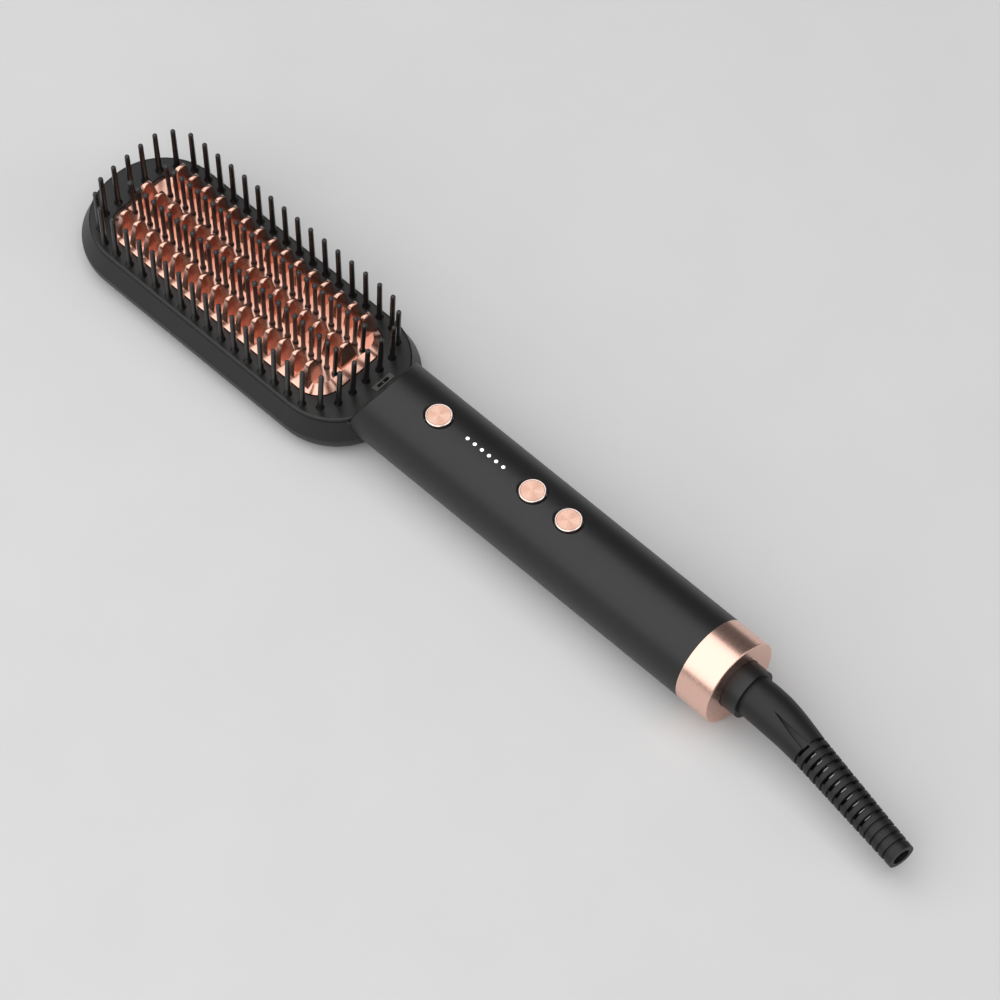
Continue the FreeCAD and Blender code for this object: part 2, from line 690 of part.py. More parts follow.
def outer_bristles():
    """Each bristle stands flat on the frame, with a peg into its hole."""
    top, radius = float(d.frame_top), float(d.bristle_radius)
    bristle = lathe(outer_profile())
    depth = float(d.frame_top - d.rim_height)
    peg = Part.makeCylinder(radius, depth + FOOT_SINK, Vector(0, 0, -depth))
    pins = []
    for x, y, lean in outer_bristle_places():
        shaft = upright(bristle, x, y, top, lean).cut(half_space_under(top))
        pins.append(shaft.fuse(upright(peg, x, y, top, lean)))
    solids("outer_bristles", pins)


FOOT_SINK = 0.3


def inner_profile():
    """Outline of an inner bristle over the deck: a collar, a pin, a ball."""
    pin, collar, ball = float(d.inner_radius), float(d.collar_radius), float(d.ball_radius)
    low, length = float(d.collar_height), float(d.inner_tip - d.deck_height)
    outline = [(0.0, -FOOT_SINK), (collar, -FOOT_SINK), (collar, 0.5 * low), (pin, low)]
    first = -math.acos(pin / ball)
    for step in range(TIP_STEPS + 1):
        turn = first + (math.pi / 2 - first) * step / (TIP_STEPS + 1)
        outline.append((ball * math.cos(turn), length - ball * (1 - math.sin(turn))))
    return outline + [(0.0, length)]


INNER_COMBS = (
    ("inner_comb_far", d.inner_row, FAR_COMB_COUNT),
    ("inner_comb_near", -d.inner_row, NEAR_COMB_COUNT),
)


def inner_bristle_places(row, count):
    """Foot and lean of each bristle of an inner row, from the neck on."""
    near, pitch = float(from_seam(plate_near + d.inner_near_inset)), float(inner_pitch)
    feet = [near - pitch * step for step in range(count)]
    far_lean, near_lean = float(d.inner_fan_far), float(d.inner_fan_near)
    return [(x, float(row), fan_lean(x, far_lean, near_lean)) for x in feet]


def half_space_under(height):
    """A block that takes away what reaches below a height."""
    far, near, half = ring_ends()
    out, deep = float(d.bristle_foot) + PAST, float(d.frame_top)
    corner = Vector(far - out, -half - out, height - deep)
    return Part.makeBox(near - far + 2 * out, 2 * (half + out), deep, corner)


def inner_comb(label, row, count):
    """One bar under the deck, and the row of bristles that stands on it.

    The bristles pass through the deck's holes, and their collars lie on it.
    """
    deck, bar_top = float(d.deck_height), float(plate_hollow)
    places = inner_bristle_places(row, count)
    half, radius = float(d.comb_bar_half), float(d.inner_radius)
    first, last = places[-1][0] - radius, places[0][0] + radius
    bar = Part.makeBox(last - first, 2 * half, float(d.comb_bar_height),
                       Vector(first, places[0][1] - half, bar_top - float(d.comb_bar_height)))
    over_deck = lathe(inner_profile())
    root_depth = deck - bar_top + FOOT_SINK
    shank = Part.makeCylinder(radius, root_depth + FOOT_SINK, Vector(0, 0, -root_depth))
    pins = []
    for x, y, lean in places:
        upper = upright(over_deck, x, y, deck, lean).cut(half_space_under(deck))
        lower = upright(shank, x, y, deck, lean).cut(half_space_under(bar_top))
        pins.append(upper.fuse(lower))
    solids(label, [bar] + pins)


# ---------------------------------------------------------------- housing

def frame_outline_x(inset=0.0):
    return (from_seam(d.rim_reach) + inset, from_seam(d.neck_reach) - inset)


def frame_corners(inset=0.0):
    return (d.tip_corner - inset, d.neck_corner - inset)


def screw_places():
    """Screw posts of the frame, two at the tip and two at the neck."""
    tip, neck = from_seam(d.rim_reach - d.tip_screw_inset), from_seam(d.neck_reach + d.neck_screw_inset)
    return ((tip, d.tip_screw_side), (tip, -d.tip_screw_side),
            (neck, d.neck_screw_side), (neck, -d.neck_screw_side))


def handle_to_neck():
    """The handle tube, cut back over the head to a steep front wall.

    The wall follows the comb frame's outline and leans back a little, and its
    upper edge is rounded where it meets the handle's round.
    """
    tube = rod("tube", d.handle_radius, (from_seam(d.neck_reach + d.neck_corner), seam))
    seat = slab("frame_seat", frame_outline_x(-d.fit_gap), d.rim_half + d.fit_gap, frame_corners(),
                (d.rim_height, handle_top + PAST), draft=d.neck_draft)
    walled = cut("neck_wall", tube, seat)
    doc.recompute()
    neck, radius = float(from_seam(handle_reach)) + PAST, float(d.handle_radius)

    def on_round(point):
        return abs(math.hypot(point.y, point.z - radius) - radius) < 1e-4

    crest = [number for number, edge in enumerate(walled.Shape.Edges, start=1)
             if edge.BoundBox.XMax < neck and edge.BoundBox.ZMin > float(d.rim_height) - PAST
             and all(on_round(point) for point in edge.discretize(5))]
    rounded = doc.addObject("Part::Fillet", "neck_edge")
    rounded.Base = walled
    rounded.Edges = [(number, float(d.neck_round), float(d.neck_round)) for number in crest]
    return rounded


def main_shell():
    rim_x = (from_seam(d.rim_reach + d.belly_out), from_seam(d.neck_reach - d.belly_out))
    tray = slab("tray", rim_x, d.rim_half + d.belly_out,
                (d.tip_corner + d.belly_out, d.neck_corner + d.belly_out),
                (0.0, d.rim_height), foot_round=d.back_round,
                top_bevel=(d.belly_out, d.rim_height - d.belly_height))
    outer = joined("outer_skin", [handle_to_neck(), tray])
    tray_hollow = slab("tray_hollow", frame_outline_x(d.tray_wall), d.rim_half - d.tray_wall,
                       frame_corners(d.tray_wall), (d.tray_wall, d.frame_top + PAST),
                       foot_round=d.back_round - d.tray_wall)
    bore = rod("bore", tube_bore, (from_seam(bore_reach), seam + PAST))
    passage_x = (from_seam(d.neck_reach + d.tray_wall * 2.0), from_seam(bore_reach - PAST))
    passage = common("neck_passage", rod("passage_round", tube_bore, passage_x),
                     block("passage_low", passage_x, (-d.handle_radius, d.handle_radius),
                           (0.0, frame_foot + d.passage_rise)))
    openings = [tray_hollow, bore, passage]
    for label, reach in BUTTONS:
        x, hole_radius = from_seam(reach), d.button_radius + d.button_gap
        openings.append(post(label + "_hole", hole_radius, x, 0.0, (axis_height, handle_top + PAST)))
        dimple = doc.addObject("Part::Cone", label + "_dimple")
        bind(dimple, Radius1=hole_radius, Radius2=hole_radius + d.dimple_out, Height=d.dimple_out)
        openings.append(place(dimple, x, 0.0, handle_top - d.dimple_depth))
    for number in range(LIGHT_COUNT):
        openings.append(post("light_hole_%d" % number, d.light_radius + d.peg_gap,
                             from_seam(light_reach - d.light_pitch * number), 0.0,
                             (axis_height, handle_top + PAST)))
    for number, (x, y) in enumerate(screw_places()):
        openings.append(post("back_hole_%d" % number, d.screw_radius + d.fit_gap, x, y,
                             (-PAST, d.tray_wall + PAST)))
        openings.append(post("back_recess_%d" % number, d.screw_head + d.fit_gap, x, y,
                             (-PAST, d.screw_sink)))
    hollow = cut("hollow_shell", outer, joined("shell_openings", openings))
    bosses = []
    for number, (x, y) in enumerate(screw_places()):
        boss_top = d.tray_wall + d.boss_rise
        wall = post("boss_%d" % number, d.post_radius, x, y, (d.tray_wall - BITE, boss_top))
        way = post("boss_way_%d" % number, d.screw_radius + d.fit_gap, x, y, (0.0, boss_top + PAST))
        recess = post("boss_sink_%d" % number, d.screw_head + d.fit_gap, x, y, (0.0, d.screw_sink))
        bosses.append(cut("boss_ring_%d" % number, wall, joined("boss_cut_%d" % number, [way, recess])))
    named("main_shell", joined("main_shell", [hollow] + bosses))


def comb_frame():
    flange = slab("frame_flange", frame_outline_x(), d.rim_half, frame_corners(),
                  (d.rim_height, d.frame_top), top_round=d.frame_round)
    rebate = cut("shadow_line",
                 slab("shadow_outer", frame_outline_x(-PAST), d.rim_half + PAST, frame_corners(),
                      (d.rim_height - PAST, d.rim_height + d.seam_gap)),
                 slab("shadow_inner", frame_outline_x(d.seam_depth), d.rim_half - d.seam_depth,
                      frame_corners(d.seam_depth), (d.rim_height - PAST * 2.0, d.frame_top)))
    inset = d.tray_wall + d.fit_gap
    spigot = slab("frame_spigot", frame_outline_x(inset), d.rim_half - inset, frame_corners(inset),
                  (frame_foot, d.rim_height + BITE))
    gap = d.plate_gap
    window = slab("frame_window", (from_seam(plate_far + gap), from_seam(plate_near - gap)),
                  d.plate_half + gap, (d.plate_corner + gap, d.plate_corner + gap),
                  (frame_foot - PAST, d.frame_top + PAST))
    post_z = (d.tray_wall + d.boss_rise, frame_foot + BITE)
    posts = [post("frame_post_%d" % number, d.post_radius, x, y, post_z)
             for number, (x, y) in enumerate(screw_places())]
    pilots = [post("pilot_%d" % number, d.screw_radius, x, y, (0.0, frame_foot + BITE))
              for number, (x, y) in enumerate(screw_places())]
    depth = float(d.frame_top - d.rim_height + d.peg_gap)
    height = depth + float(d.foot_height)
    peg = Part.makeCylinder(float(d.bristle_radius + d.peg_gap), height, Vector(0, 0, -depth))
    pegs = [upright(peg, x, y, float(d.frame_top), lean) for x, y, lean in outer_bristle_places()]
    outlet_seat = outlet_block("outlet_seat", d.peg_gap, (d.rim_height, d.frame_top + PAST))
    outlet_way = outlet_block("outlet_way", -d.outlet_ledge, (frame_foot - PAST, d.frame_top))
    body = joined("frame_body", [cut("frame_edge", flange, rebate), spigot] + posts)
    holes = helper_shape("bristle_holes", Part.makeCompound(pegs))
    tools = joined("frame_cuts", [window, outlet_seat, outlet_way, holes] + pilots)
    named("comb_frame", cut("comb_frame", body, tools))


def outlet_block(name, margin, z):
    """A box around the ion outlet's place, with a margin on its four sides."""
    middle, half = from_seam(outlet_reach), d.outlet_length / 2.0 + margin
    side = d.outlet_width / 2.0 + margin
    return block(name, (middle - half, middle + half), (d.outlet_side - side, d.outlet_side + side), z)


def ion_outlet():
    """A small slitted tab that lies on a ledge in the frame, over the needle."""
    body = outlet_block("outlet_body", 0.0, (d.rim_height, d.frame_top + d.outlet_rise))
    middle, half = from_seam(outlet_reach), d.outlet_length / 2.0 - d.outlet_edge
    start = d.outlet_side - d.outlet_width / 2.0
    slits = []
    for number in range(OUTLET_SLITS):
        across = start + d.outlet_width * ((number + 1.0) / (OUTLET_SLITS + 1.0))
        slits.append(block("outlet_slit_%d" % number, (middle - half, middle + half),
                           (across - d.outlet_slit / 2.0, across + d.outlet_slit / 2.0),
                           (d.rim_height - PAST, d.frame_top + PAST)))
    named("ion_outlet", cut("ion_outlet", body, joined("outlet_slits", slits)))


BUTTONS = (("power", power_reach), ("minus", minus_reach), ("plus", d.plus_reach))


# ---------------------------------------------------------------- heater

def heating_plate():
    x = (from_seam(plate_far), from_seam(plate_near))
    corners = (d.plate_corner, d.plate_corner)
    solid_plate = slab("plate_body", x, d.plate_half, corners, (d.plate_foot, d.deck_height),
                       top_bevel=(d.bevel_in, d.bevel_down))
    wall = d.plate_wall
    hollow = slab("plate_hollow", (x[0] + wall, x[1] - wall), d.plate_half - wall,
                  (d.plate_corner - wall, d.plate_corner - wall), (d.plate_foot - PAST, plate_hollow))
    deep = float(d.deck_wall) + PAST
    bore = Part.makeCylinder(float(d.inner_radius + d.peg_gap), deep + PAST, Vector(0, 0, -deep))
    holes = [upright(bore, x_pin, y_pin, float(d.deck_height), lean)
             for _label, row, count in INNER_COMBS for x_pin, y_pin, lean in inner_bristle_places(row, count)]
    tools = joined("plate_cuts", [hollow, helper_shape("pin_holes", Part.makeCompound(holes))])
    named("heating_plate", cut("heating_plate", solid_plate, tools))


def fin(width, edge_width):
    """One upright blade across the brush: a root, a taper and a round crown.

    It is what a view along the brush and a view across it have in common.
    """
    height, crown = float(d.fin_height), float(d.fin_crown)
    base, edge = float(d.fin_base) / 2, float(d.fin_edge) / 2
    sunk = float(d.deck_height - d.plate_foot) / 2
    shoulder = height - crown
    half, top = width / 2, edge_width / 2

    def point(y, z):
        return Vector(0, y, z)

    sides = Part.makePolygon([point(top, shoulder), point(half, 0), point(half, -sunk),
                              point(-half, -sunk), point(-half, 0), point(-top, shoulder)])
    crown_arc = Part.Arc(point(-top, shoulder), point(0, height), point(top, shoulder)).toShape()
    along = Part.Face(Part.Wire(sides.Edges + [crown_arc]))
    along.translate(Vector(-base - PAST, 0, 0))
    wide = along.extrude(Vector(2 * (base + PAST), 0, 0))

    def level(x, z):
        return Vector(x, 0, z)

    flank = height - edge
    flanks = Part.makePolygon([level(edge, flank), level(base, 0), level(base, -sunk),
                               level(-base, -sunk), level(-base, 0), level(-edge, flank)])
    edge_arc = Part.Arc(level(-edge, flank), level(0, height), level(edge, flank)).toShape()
    across = Part.Face(Part.Wire(flanks.Edges + [edge_arc]))
    across.translate(Vector(0, -half - PAST, 0))
    return wide.common(across.extrude(Vector(0, width + 2 * PAST, 0)))


def fin_row(label, row, reach, count, width):
    blade = fin(float(width), float(d.fin_edge_width))
    pitch, start = float(fin_pitch), float(from_seam(reach))
    plate = doc.getObject("plate_body").Shape
    blades = [upright(blade, start + pitch * step, float(row), float(d.deck_height)) for step in range(count)]
    solids(label, [one.cut(plate).removeSplitter() for one in blades])


def heater_levels():
    """Heights of the layers under the deck, from the top down."""
    film = plate_hollow - d.film_thick
    upper = film - d.electrode_thick
    blocks = upper - d.ptc_thick
    lower = blocks - d.electrode_thick
    film_low = lower - d.film_thick
    clamp = film_low - d.clamp_thick
    return film, upper, blocks, lower, film_low, clamp


def heater_run():
    """Both ends of the row of heating blocks, close behind the plate's wall."""
    start = from_seam(plate_far) + d.plate_wall + d.film_out + d.fit_gap
    return start, from_seam(plate_near) - d.heater_near_inset


def heater():
    film, upper, blocks, lower, film_low, clamp = heater_levels()
    half = d.heater_half
    film_half = half + d.film_side
    run = heater_run()
    film_x = (run[0] - d.film_out, run[1] + d.film_out)
    for label, level in (("insulation_film_upper", (film, plate_hollow)),
                         ("insulation_film_lower", (film_low, lower))):
        named(label, block(label, film_x, (-film_half, film_half), level))
    for label, side, level in (("electrode_upper", -1.0, (upper, film)),
                               ("electrode_lower", 1.0, (lower, blocks))):
        middle = d.tab_side * side
        tab = block(label + "_tab", (run[1] - PAST, run[1] + d.tab_out),
                    (middle - d.tab_half, middle + d.tab_half), level)
        named(label, joined(label, [block(label + "_strip", run, (-half, half), level), tab]))
    bricks = []
    pitch = float(run[1] - run[0] + d.heater_gap) / HEATER_BLOCKS
    for step in range(HEATER_BLOCKS):
        bricks.append(Part.makeBox(pitch - float(d.heater_gap), 2 * float(half), float(d.ptc_thick),
                                   Vector(float(run[0]) + pitch * step, -float(half), float(blocks))))
    solids("heating_blocks", bricks)
    named("heater_clamp", joined("heater_clamp", [
        block("clamp_plate", run, (-film_half, film_half), (clamp, film_low)),
        block("clamp_foot_far", (run[0], run[0] + d.clamp_foot), (-half, half), (frame_foot, clamp)),
        block("clamp_foot_near", (run[1] - d.clamp_foot, run[1]), (-half, half), (frame_foot, clamp)),
    ]))


def four_places(ends, side):
    return [(x, y) for x in ends for y in (side, -side)]


def heat_shield():
    """A tray under the plate: the frame and the plate both stand on it."""
    plate_x = (from_seam(plate_far), from_seam(plate_near))
    out = d.shield_out
    floor = slab("shield_floor", (plate_x[0] - out, plate_x[1] + out), d.plate_half + out,
                 (d.plate_corner + out, d.plate_corner + out), (frame_foot - d.shield_wall, frame_foot))
    ledge = slab("shield_ledge", plate_x, d.plate_half, (d.plate_corner, d.plate_corner),
                 (frame_foot - BITE, d.plate_foot))
    wall = d.plate_wall
    inside = slab("shield_inside", (plate_x[0] + wall, plate_x[1] - wall), d.plate_half - wall,
                  (d.plate_corner - wall, d.plate_corner - wall), (frame_foot, d.plate_foot + PAST))
    lead_way = block("shield_lead_way", (heater_run()[1] + d.fit_gap, plate_x[1] - wall - d.fit_gap),
                     (-d.lead_way_half, d.lead_way_half), (0.0, frame_foot + BITE))
    named("heat_shield", cut("heat_shield", joined("shield_body", [floor, ledge]),
                             joined("shield_cuts", [inside, lead_way])))
    posts = [post("shield_post_%d" % number, d.post_radius, x, y, (d.tray_wall, frame_foot - d.shield_wall))
             for number, (x, y) in enumerate(four_places(
                 (plate_x[0] + d.shield_post_inset, plate_x[1] - d.shield_post_inset), d.shield_post_side))]
    named("shield_posts", joined("shield_posts", posts))


def heat_sensors():
    floor = frame_foot
    x, y = from_seam(plate_near + d.sensor_inset), d.sensor_side
    pad, wide, bead = d.sensor_length / 2.0, d.sensor_width / 2.0, d.bead_length / 2.0
    named("thermistor", joined("thermistor", [
        block("sensor_pad_block", (x - pad, x + pad), (y - wide, y + wide), (floor, floor + d.sensor_pad)),
        rod("sensor_bead", d.bead_radius, (x - bead, x + bead), y,
            floor + d.sensor_pad + d.bead_radius - d.fit_gap),
    ]))
    height = floor + d.fuse_radius
    far = x - d.fuse_length
    named("thermal_fuse", joined("thermal_fuse", [
        rod("fuse_can", d.fuse_radius, (far, x), -y, height),
        rod("fuse_lead_far", d.fuse_wire, (far - d.fuse_lead, far), -y, height),
        rod("fuse_lead_near", d.fuse_wire, (x, x + d.fuse_lead), -y, height),
    ]))


# ---------------------------------------------------------------- electronics

def board_carrier():
    """A floor across the tube that holds both boards and the ion maker."""
    x = (from_seam(carrier_reach), from_seam(d.carrier_near))
    top, low = control_height, control_height - d.carrier_thick
    half = chord_half(tube_bore - d.fit_gap, top)
    ends = (from_seam(d.power_board_far - d.board_post_inset),
            from_seam(d.power_board_near + d.board_post_inset))
    long, wide = d.carrier_post_half, d.carrier_post_side
    posts = [block("carrier_post_%d" % number, (x_post - long, x_post + long), (y_post - wide, y_post + wide),
                   (power_board_height + d.board_thick, low + BITE))
             for number, (x_post, y_post) in enumerate(four_places(ends, d.board_post_row))]
    floor = block("carrier_floor", x, (-half, half), (low, top))
    named("board_carrier", joined("board_carrier", [floor] + posts))


def control_board():
    top = control_top
    half = chord_half(tube_bore - d.fit_gap, top) - d.board_side_gap
    ends = (from_seam(carrier_reach - d.board_end_gap), from_seam(d.plus_reach - d.board_past_plus))
    named("control_board", block("control_board", ends, (-half, half), (control_height, top)))
    body_top = top + d.switch_height
    side = d.switch_side / 2.0
    for label, reach in BUTTONS:
        x = from_seam(reach)
        body = block(label + "_switch_body", (x - side, x + side), (-side, side), (top, body_top))
        well = post(label + "_switch_well", d.plunger_radius + d.plunger_gap, x, 0.0,
                    (body_top - d.button_travel * 2.0, body_top + PAST))
        named(label + "_switch", cut(label + "_switch", body, well))
    chips = []
    long, wide, high = float(d.chip_length), float(d.chip_width), float(d.chip_height)
    for number in range(LIGHT_COUNT):
        x = float(from_seam(light_reach - d.light_pitch * number))
        chips.append(Part.makeBox(long, wide, high, Vector(x - long / 2, -wide / 2, float(top))))
    solids("light_chips", chips)
    start, side = from_seam(d.processor_reach), -half + d.processor_inset
    named("processor", block("processor", (start, start + d.processor_length), (side, side + d.processor_width),
                             (top, top + d.processor_height)))


def light_pipe():
    """Clear bar over the chips, with one short column up to each light."""
    start = from_seam(light_reach) - d.pipe_end
    end = from_seam(light_reach - d.light_pitch * (LIGHT_COUNT - 1.0)) + d.pipe_end
    low = control_top + d.chip_height + d.pipe_over_chip
    high = low + d.pipe_thick
    columns = [post("light_column_%d" % number, d.light_radius,
                    from_seam(light_reach - d.light_pitch * number), 0.0,
                    (high - BITE, handle_top + d.light_rise)) for number in range(LIGHT_COUNT)]
    leg_y = (-d.pipe_leg_half, d.pipe_leg_half)
    legs = [block("light_leg_far", (start, start + d.pipe_leg), leg_y, (control_top, high)),
            block("light_leg_near", (end - d.pipe_leg, end), leg_y, (control_top, high))]
    bar = block("light_bar", (start, end), (-d.pipe_half, d.pipe_half), (low, high))
    named("light_pipe", joined("light_pipe", [bar] + columns + legs))


def button(label, reach):
    """A cap with a flange under the handle's wall, and the plunger it pushes."""
    x = from_seam(reach)
    body_top = control_top + d.switch_height
    plunger_top = body_top + d.button_travel
    flange_radius = d.button_radius + d.flange_out
    flange_top = axis_height + root(tube_bore * tube_bore - flange_radius * flange_radius) - d.fit_gap
    named(label + "_button", joined(label + "_button", [
        post(label + "_cap", d.button_radius, x, 0.0, (flange_top - BITE, handle_top + d.button_rise)),
        post(label + "_flange", flange_radius, x, 0.0, (flange_top - d.flange_thick, flange_top)),
        post(label + "_stem", d.plunger_radius, x, 0.0, (plunger_top, flange_top - BITE)),
    ]))
    named(label + "_plunger", post(label + "_plunger", d.plunger_radius, x, 0.0,
                                   (body_top - d.button_travel + d.plunger_rest, plunger_top)))


def power_board():
    low, top = power_board_height, power_board_height + d.board_thick
    half = chord_half(tube_bore, low) - d.power_board_gap
    ends = (from_seam(d.power_board_far), from_seam(d.power_board_near))
    named("power_board", block("power_board", ends, (-half, half), (low, top)))
    start, wide = from_seam(d.filter_reach), d.filter_width / 2.0
    named("filter_capacitor", block("filter_capacitor", (start, start + d.filter_length),
                                    (d.filter_side - wide, d.filter_side + wide), (top, top + d.filter_height)))
    start = from_seam(d.storage_reach)
    named("storage_capacitor", rod("storage_capacitor", d.storage_radius, (start, start + d.storage_length),
                                   d.storage_side, top + d.storage_radius))
    triac_x = (start, start + d.triac_length)
    named("triac", joined("triac", [
        block("triac_body", triac_x, (d.triac_side, d.triac_side + d.triac_width), (top, top + d.triac_height)),
        block("triac_plate", triac_x, (d.triac_side, d.triac_side + d.triac_tab),
              (top, top + d.triac_height + d.triac_tab_rise)),
    ]))
    start = from_seam(d.terminal_reach)
    named("terminal_block", block("terminal_block", (start, start + d.terminal_length),
                                  (-d.terminal_half, d.terminal_half), (top, top + d.terminal_height)))


def ion_maker():
    low = control_height - d.carrier_thick
    start = from_seam(ion_reach)
    named("ion_module", block("ion_module", (start, start + d.ion_length), (-d.ion_half, d.ion_half),
                              (low - d.ion_height, low)))
    # The needle stands in a holder under the frame, right below the outlet.
    x, y = from_seam(outlet_reach), d.outlet_side
    holder = block("needle_block", (x - d.holder_half, x + d.holder_half),
                   (y - d.holder_side, y + d.holder_side), (frame_foot - d.holder_height, frame_foot))
    way = post("needle_way", d.needle_radius + d.peg_gap, x, y, (0.0, frame_foot + PAST))
    named("ion_needle_holder", cut("ion_needle_holder", holder, way))
    radius, foot = float(d.needle_radius), float(d.needle_foot)
    needle = lathe([(0.0, -foot), (radius, -foot), (radius, 0.0), (0.0, float(d.needle_point))])
    solids("ion_needle", [upright(needle, float(x), float(y), float(frame_foot))])


def wire(points, radius):
    """A lead through straight runs with tangent bends."""
    edges = []
    last = points[0]
    for before, corner, after in zip(points, points[1:], points[2:]):
        into, out = (corner - before).normalize(), (after - corner).normalize()
        trim = 0.45 * min((corner - before).Length, (after - corner).Length)
        start, end = corner - into * trim, corner + out * trim
        half_turn = into.getAngle(out) / 2
        depth = trim * (1 - math.cos(half_turn)) / math.tan(half_turn)
        towards = (out - into).normalize()
        chord_middle = (start + end) * 0.5
        arc_middle = chord_middle - towards * depth
        edges.append(Part.LineSegment(last, start).toShape())
        edges.append(Part.Arc(start, arc_middle, end).toShape())
        last = end
    edges.append(Part.LineSegment(last, points[-1]).toShape())
    path = Part.Wire(edges)
    tangent = (points[1] - points[0]).normalize()
    section = Part.Wire([Part.Circle(points[0], tangent, radius).toShape()])
    return path.makePipeShell([section], True, False)


def leads():
    """Leads run low through the neck, from the heater to the power board."""
    _film, upper, _blocks, lower, _film_low, _clamp = heater_levels()
    thick, gap = float(d.electrode_thick), float(d.contact_gap)
    under_board = float(power_board_height - d.lead_radius) - gap
    start = float(heater_run()[1] + d.tab_out) + gap
    drop = float(from_seam(plate_near) - d.plate_wall - d.lead_drop)
    neck = float(from_seam(d.neck_reach))
    end = float(from_seam(d.power_board_far - d.lead_end))
    pair = []
    for side, level in ((-1.0, float(upper) + thick / 4), (1.0, float(lower) + thick / 2)):
        tab, run = float(d.tab_side) * side, float(d.lead_side) * side
        pair.append(wire([
            Vector(start, tab, level),
            Vector(drop, tab, level),
            Vector(drop, tab, float(d.lead_low)),
            Vector(neck, run, float(d.lead_neck)),
            Vector(neck + float(d.lead_rise), run, under_board),
            Vector(end, run, under_board),
        ], float(d.lead_radius)))
    solids("heater_leads", pair)
    x, y = float(from_seam(outlet_reach)), float(d.outlet_side)
    foot = float(frame_foot - d.needle_foot) - gap
    module, height = float(from_seam(ion_reach)) - gap, float(d.ion_lead_height)
    solids("ion_lead", [wire([
        Vector(x, y, foot),
        Vector(x, y, foot - float(d.ion_lead_drop)),
        Vector(neck + float(d.ion_lead_bend), 0.0, float(d.ion_lead_low)),
        Vector(module - float(d.ion_lead_run), 0.0, height),
        Vector(module, 0.0, height),
    ], float(d.ion_lead_radius))])


# ---------------------------------------------------------------- tail

def tail_cap():
    """The metal-look band and end wall, with a spigot in the handle tube."""
    end = seam + d.cap_band
    band = rod("cap_band_rod", d.handle_radius, (seam, end))
    spigot = rod("cap_spigot", tube_bore - d.peg_gap, (seam - d.spigot_length, seam + PAST))
    cup = rod("cap_cup", d.handle_radius - d.cap_wall, (seam + d.cap_web, end - d.cap_wall))
    throat = rod("cap_throat", tube_bore - d.cap_wall, (seam - d.spigot_length - PAST, seam + d.cap_web + PAST))
    hole = rod("cap_hole", d.stub_radius + d.swivel_gap, (seam, end + PAST))
    rim = doc.addObject("Part::Fillet", "cap_rim")
    rim.Base = band
    doc.recompute()
    outer_edges = [number for number, edge in enumerate(band.Shape.Edges, start=1)
                   if edge.Closed and edge.Curve.TypeId == "Part::GeomCircle"
                   and abs(edge.CenterOfMass.x - float(end)) < 1e-6]
    rim.Edges = [(number, float(d.cap_edge), float(d.cap_edge)) for number in outer_edges]
    cuts = joined("cap_cuts", [cup, throat, hole])
    named("tail_cap", cut("tail_cap", joined("cap_solid", [rim, spigot]), cuts))


def swivel_bearing():
    """A bush in the cap that carries the swivel's journal."""
    end = seam + d.bush_length
    bush = rod("bush_body", d.handle_radius - d.cap_wall - d.peg_gap, (seam + d.cap_web, end))
    sleeve = rod("bush_sleeve_rod", tube_bore - d.cap_wall - d.peg_gap,
                 (seam - d.bush_sleeve, seam + d.cap_web + PAST))
    way = rod("bush_bore", d.journal_radius + d.journal_gap, (seam - d.bush_sleeve - PAST, end + PAST))
    named("swivel_bearing", cut("swivel_bearing", joined("bush_solid", [bush, sleeve]), way))


def swivel_spindle():
    """Stub, journal and core in one turned piece, hollow for the wires."""
    stub_start, stub_end = seam + d.bush_length + d.axial_gap, seam + d.cap_band + d.stub_out
    journal_start = seam - d.bush_sleeve - d.axial_gap
    stub = rod("stub", d.stub_radius, (stub_start, stub_end))
    journal = rod("journal", d.journal_radius, (journal_start, stub_start + PAST))
    core = rod("core", d.core_radius, (from_seam(d.core_reach), journal_start + PAST))
    way = rod("spindle_bore", d.wire_bore, (from_seam(d.core_reach + PAST), stub_end + PAST))
    named("swivel_spindle", cut("swivel_spindle", joined("spindle_body", [stub, journal, core]), way))
    clip_end = journal_start
    ring = rod("clip_ring", d.journal_radius + d.clip_out, (clip_end - d.clip_thick, clip_end))
    clip_hole = rod("clip_hole", d.core_radius, (clip_end - d.clip_thick - PAST, clip_end + PAST))
    named("retaining_clip", cut("retaining_clip", ring, clip_hole))
    for label, reach in (("slip_ring_live", d.live_reach), ("slip_ring_neutral", d.neutral_reach)):
        start = from_seam(reach)
        band = rod(label + "_band", d.slip_ring_radius, (start, start + d.slip_ring_width))
        hole = rod(label + "_hole", d.core_radius, (start - PAST, start + d.slip_ring_width + PAST))
        named(label, cut(label, band, hole))


def contact_block():
    """A block on the tube's floor with two springy fingers at the rings."""
    floor = axis_height - tube_bore
    x = (from_seam(d.contact_far), from_seam(d.spigot_length + d.axial_gap))
    base = common("contact_base", rod("contact_round", tube_bore - d.peg_gap, x),
                  block("contact_low", x, (-d.contact_half, d.contact_half), (floor - PAST, contact_top)))
    named("contact_block", base)
    touch = axis_height - d.slip_ring_radius - d.journal_gap
    thick, foot = d.finger_thick, d.finger_half
    for label, reach in (("contact_finger_live", d.live_reach), ("contact_finger_neutral", d.neutral_reach)):
        middle, half = from_seam(reach - d.slip_ring_width / 2.0), d.finger_width / 2.0
        x = (middle - half, middle + half)
        named(label, joined(label, [
            block(label + "_foot", x, (-foot, foot), (contact_top, contact_top + thick)),
            block(label + "_rise", x, (-foot, -foot + thick), (contact_top, touch)),
            block(label + "_touch", x, (-foot, d.finger_touch), (touch - thick, touch)),
        ]))


